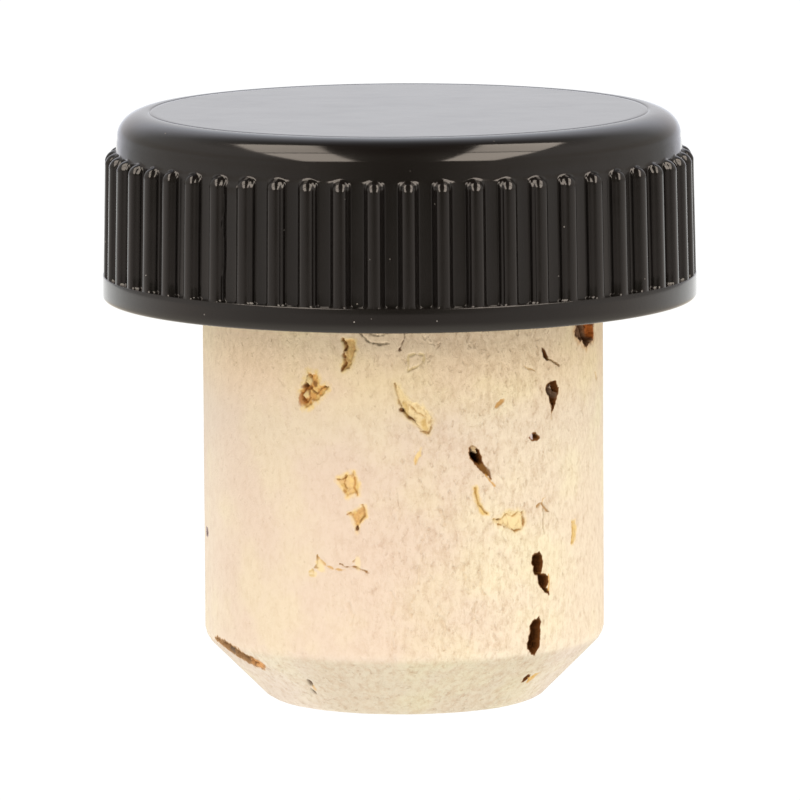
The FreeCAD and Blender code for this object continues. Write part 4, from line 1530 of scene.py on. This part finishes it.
# Brightness of the room by direction, from in front (0) round to behind (1)
ROOM_ROUND = [
    (0.0, (0.10, 0.09, 0.07)), (0.07, (0.16, 0.15, 0.12)), (0.14, (0.32, 0.29, 0.25)),
    (0.22, (0.5, 0.45, 0.41)),
    (0.34, (0.7, 0.65, 0.6)), (0.5, (0.76, 0.7, 0.65)), (0.64, (0.64, 0.6, 0.56)),
    (0.75, (0.56, 0.55, 0.54)),
    (0.83, (0.8, 0.8, 0.84)), (0.89, (1.0, 1.0, 1.08)), (1.0, (1.08, 1.12, 1.22)),
]
# and what it is multiplied by, by the sine of the height above the horizon
ROOM_UP = [
    (0.0, (1, 1, 1)), (0.07, (0.89, 0.86, 0.82)), (0.2, (0.9, 0.87, 0.83)), (0.36, (1, 1, 1)),
    (0.62, (1, 1, 1)),
    (0.78, (0.6, 0.6, 0.6)), (0.87, (0.33, 0.33, 0.33)), (0.97, (0.09, 0.09, 0.09)),
    (1.0, (0.08, 0.08, 0.08)),
]

# Brightness of the light table far from the stopper, in the same way, and under it
TABLE_ROUND = [
    (0.0, (0.42, 0.36, 0.32)), (0.3, (0.6, 0.54, 0.49)), (0.5, (0.92, 0.82, 0.74)),
    (0.78, (1.2, 1.2, 1.17)),
    (1.0, (1.3, 1.3, 1.3)),
]
TABLE_NEAR = (2.1, 2.1, 2.1, 1)
# As the plastic mirrors it, the table near the stopper is dimmed by a painted shadow of the
# stopper
TABLE_NEAR_MIRRORED = (1.2, 1.1, 0.95, 1)  # as the plastic mirrors it, dim with its own shade
TABLE_BLEND = (0.08, 0.15)  # metres from the stopper between which near turns to far
TABLE_DROP = 0.01  # millimetres under the stopper
TABLE_POINTS = 128
BACKDROP = 1.05  # brightness of all that the camera sees round the stopper


def share_behind(tree, direction):
    """Nodes that turn a direction into its share of the way from in front round to behind."""
    parts = add_node(tree, "ShaderNodeSeparateXYZ", {"Vector": direction})
    side = add_node(tree, "ShaderNodeMath", {0: parts.outputs["X"]}, operation="ABSOLUTE")
    ahead = add_node(
        tree, "ShaderNodeMath", {0: parts.outputs["Y"], 1: -1.0}, operation="MULTIPLY",
    )
    turn = add_node(
        tree, "ShaderNodeMath", {0: side.outputs[0], 1: ahead.outputs[0]}, operation="ARCTAN2",
    )
    share = add_node(tree, "ShaderNodeMath", {0: turn.outputs[0], 1: math.pi}, operation="DIVIDE")
    return share.outputs[0], parts.outputs["Z"]


def opal_acrylic():
    """The light table's opal acrylic, lit from below and by the white sweep behind: brightest
    under the stopper and at the back, and dim towards the front. The plastic mirrors the
    part near the stopper dimmer than it lights the cork, with a painted shadow of the stopper,
    and the camera sees plain white."""
    material, tree = new_material("opal_acrylic")
    place = add_node(tree, "ShaderNodeTexCoord").outputs["Object"]
    share, _ = share_behind(tree, place)
    far = add_node(tree, "ShaderNodeValToRGB", {"Fac": share})
    set_stops(far, [(at, (*colour, 1)) for at, colour in TABLE_ROUND])
    distance = add_node(tree, "ShaderNodeVectorMath", {0: place}, operation="LENGTH")
    away = add_node(
        tree, "ShaderNodeMapRange",
        {
            "Value": distance.outputs["Value"], "From Min": TABLE_BLEND[0],
            "From Max": TABLE_BLEND[1], "To Min": 0.0, "To Max": 1.0,
        },
        interpolation_type="SMOOTHSTEP",
    )
    path = add_node(tree, "ShaderNodeLightPath")
    near = add_node(
        tree, "ShaderNodeMix",
        {"Factor": path.outputs["Is Glossy Ray"], "A": TABLE_NEAR, "B": TABLE_NEAR_MIRRORED},
        data_type="RGBA",
    )
    glow = add_node(
        tree, "ShaderNodeMix",
        {
            "Factor": away.outputs[0], "A": socket(near.outputs, "Result"),
            "B": far.outputs["Color"],
        },
        data_type="RGBA",
    )
    seen = add_node(
        tree, "ShaderNodeMix",
        {
            "Factor": path.outputs["Is Camera Ray"], "A": socket(glow.outputs, "Result"),
            "B": (BACKDROP, BACKDROP, BACKDROP, 1),
        },
        data_type="RGBA",
    )
    shader = add_node(
        tree, "ShaderNodeBsdfPrincipled",
        {
            "Base Color": linear("#000000"),
            "Specular IOR Level": 0.0,
            "Emission Color": socket(seen.outputs, "Result"),
            "Emission Strength": 1.0,
        },
    )
    add_node(tree, "ShaderNodeOutputMaterial", {"Surface": shader.outputs["BSDF"]})
    return material


class STOPPER_OT_studio(bpy.types.Operator):
    """Set up the light table, the room, the softboxes and the camera"""

    bl_idname = "stopper.studio"
    bl_label = "Studio"

    def execute(self, context):
        scene = context.scene
        studio = scene.stopper_studio
        self.light_table(studio)
        self.room(scene)
        self.softboxes(scene, studio)
        self.camera(scene, studio)
        scene.view_settings.view_transform = "Standard"
        return {"FINISHED"}

    def light_table(self, studio):
        """A round table top of opal acrylic, just under the stopper."""
        verts, faces = [], []
        rim = ring(verts, TABLE_POINTS, studio.floor_radius / MM, -TABLE_DROP)
        inner = ring(verts, TABLE_POINTS, studio.floor_radius / MM * 0.5, -TABLE_DROP)
        join_rings(faces, inner, rim)
        close_ring(verts, faces, inner[::-1], -TABLE_DROP)
        mesh = bpy.data.meshes.new("light_table")
        mesh.from_pydata([Vector(v) * MM for v in verts], [], faces)
        mesh.materials.append(opal_acrylic())
        table = bpy.data.objects.new("light_table", mesh)
        bpy.context.scene.collection.objects.link(table)

    def room(self, scene):
        """A dim front with the camera, grey sides and a white sweep behind. To the camera the
        room is plain white."""
        world = bpy.data.worlds.new("studio_room")
        world.use_nodes = True
        tree = world.node_tree
        tree.nodes.clear()
        toward = add_node(tree, "ShaderNodeTexCoord").outputs["Generated"]
        share, height = share_behind(tree, toward)
        round_ramp = add_node(tree, "ShaderNodeValToRGB", {"Fac": share})
        set_stops(round_ramp, [(place, (*colour, 1)) for place, colour in ROOM_ROUND])
        up_ramp = add_node(tree, "ShaderNodeValToRGB", {"Fac": height})
        set_stops(up_ramp, [(place, (*colour, 1)) for place, colour in ROOM_UP])
        colour = add_node(
            tree, "ShaderNodeMix",
            {"Factor": 1.0, "A": round_ramp.outputs["Color"], "B": up_ramp.outputs["Color"]},
            data_type="RGBA", blend_type="MULTIPLY",
        )
        lit = add_node(
            tree, "ShaderNodeBackground",
            {"Color": socket(colour.outputs, "Result"), "Strength": 1.0},
        )
        white = add_node(
            tree, "ShaderNodeBackground", {"Color": linear("#ffffff"), "Strength": BACKDROP},
        )
        path = add_node(tree, "ShaderNodeLightPath")
        seen = add_node(
            tree, "ShaderNodeMixShader",
            {0: path.outputs["Is Camera Ray"], 1: lit.outputs[0], 2: white.outputs[0]},
        )
        add_node(tree, "ShaderNodeOutputWorld", {"Surface": seen.outputs[0]})
        scene.world = world

    def softboxes(self, scene, studio):
        """Two strip softboxes, each of two panels with a seam between them."""
        for side in (-1, 1):
            mirror = Vector((-side, 1, 1))
            across = (SOFTBOX_ACROSS * mirror).normalized()
            along = (SOFTBOX_ALONG * mirror).normalized()
            centre = SOFTBOX_CENTRE * mirror
            facing = across.cross(along).normalized()
            if facing.dot(centre) < 0:
                facing = -facing
            for number, (place, level) in enumerate(SOFTBOX_PANELS):
                name = f"softbox_{'left' if side < 0 else 'right'}_{number}"
                light = bpy.data.lights.new(name, "AREA")
                light.shape = "RECTANGLE"
                light.size = SOFTBOX_ACROSS.length
                light.size_y = SOFTBOX_PANEL_LENGTH
                light.color = linear(SOFTBOX_TINT)[:3]
                level *= SOFTBOX_RIGHT if side > 0 else 1
                area = light.size * light.size_y
                light.energy = studio.softbox_radiance * level * math.pi * area
                lamp = bpy.data.objects.new(light.name, light)
                turned = Matrix((along.cross(facing), along, facing)).transposed()
                lamp.matrix_world = Matrix.Translation(centre + along * place) @ turned.to_4x4()
                lamp.visible_camera = False
                scene.collection.objects.link(lamp)

    def camera(self, scene, studio):
        """A long lens, slightly above the stopper."""
        forward = Vector((0, math.cos(studio.pitch), -math.sin(studio.pitch)))
        level_up = Vector((0, math.sin(studio.pitch), math.cos(studio.pitch)))
        right = Vector((1, 0, 0)) * math.cos(studio.roll) + level_up * math.sin(studio.roll)
        up = level_up * math.cos(studio.roll) - Vector((1, 0, 0)) * math.sin(studio.roll)
        data = bpy.data.cameras.new("product_camera")
        data.lens = studio.lens
        data.sensor_width = 36
        data.clip_start = 0.01
        camera = bpy.data.objects.new("product_camera", data)
        turned = Matrix((right, up, -forward)).transposed()
        place = Vector(studio.aim) - forward * studio.distance
        camera.matrix_world = Matrix.Translation(place) @ turned.to_4x4()
        scene.collection.objects.link(camera)
        scene.camera = camera


# Panel and registration


class STOPPER_PT_sidebar(bpy.types.Panel):
    """The stopper's sizes and build steps in the 3D view's sidebar"""

    bl_idname = "STOPPER_PT_sidebar"
    bl_label = "Cork stopper"
    bl_space_type = "VIEW_3D"
    bl_region_type = "UI"
    bl_category = "Stopper"

    def draw(self, context):
        for step, group in BUILD_STEPS:
            box = self.layout.box()
            box.operator(step.bl_idname)
            values = getattr(context.scene, group)
            for name in values.bl_rna.properties.keys():
                if name not in ("rna_type", "name"):
                    box.prop(values, name)


BUILD_STEPS = [
    (STOPPER_OT_studio, "stopper_studio"),
    (STOPPER_OT_plastic_head, "stopper_head"),
    (STOPPER_OT_cork_shank, "stopper_cork"),
]
GROUPS = {"stopper_head": HeadSizes, "stopper_cork": CorkSizes, "stopper_studio": StudioSizes}


def register():
    for group in GROUPS.values():
        bpy.utils.register_class(group)
    for name, group in GROUPS.items():
        setattr(bpy.types.Scene, name, PointerProperty(type=group))
    for step, _ in BUILD_STEPS:
        bpy.utils.register_class(step)
    bpy.utils.register_class(STOPPER_PT_sidebar)


def unregister():
    bpy.utils.unregister_class(STOPPER_PT_sidebar)
    for step, _ in reversed(BUILD_STEPS):
        bpy.utils.unregister_class(step)
    for name in GROUPS:
        delattr(bpy.types.Scene, name)
    for group in reversed(GROUPS.values()):
        bpy.utils.unregister_class(group)


def main():
    register()
    bpy.ops.stopper.studio()
    bpy.ops.stopper.plastic_head()
    bpy.ops.stopper.cork_shank()


if __name__ == "__main__":
    main()
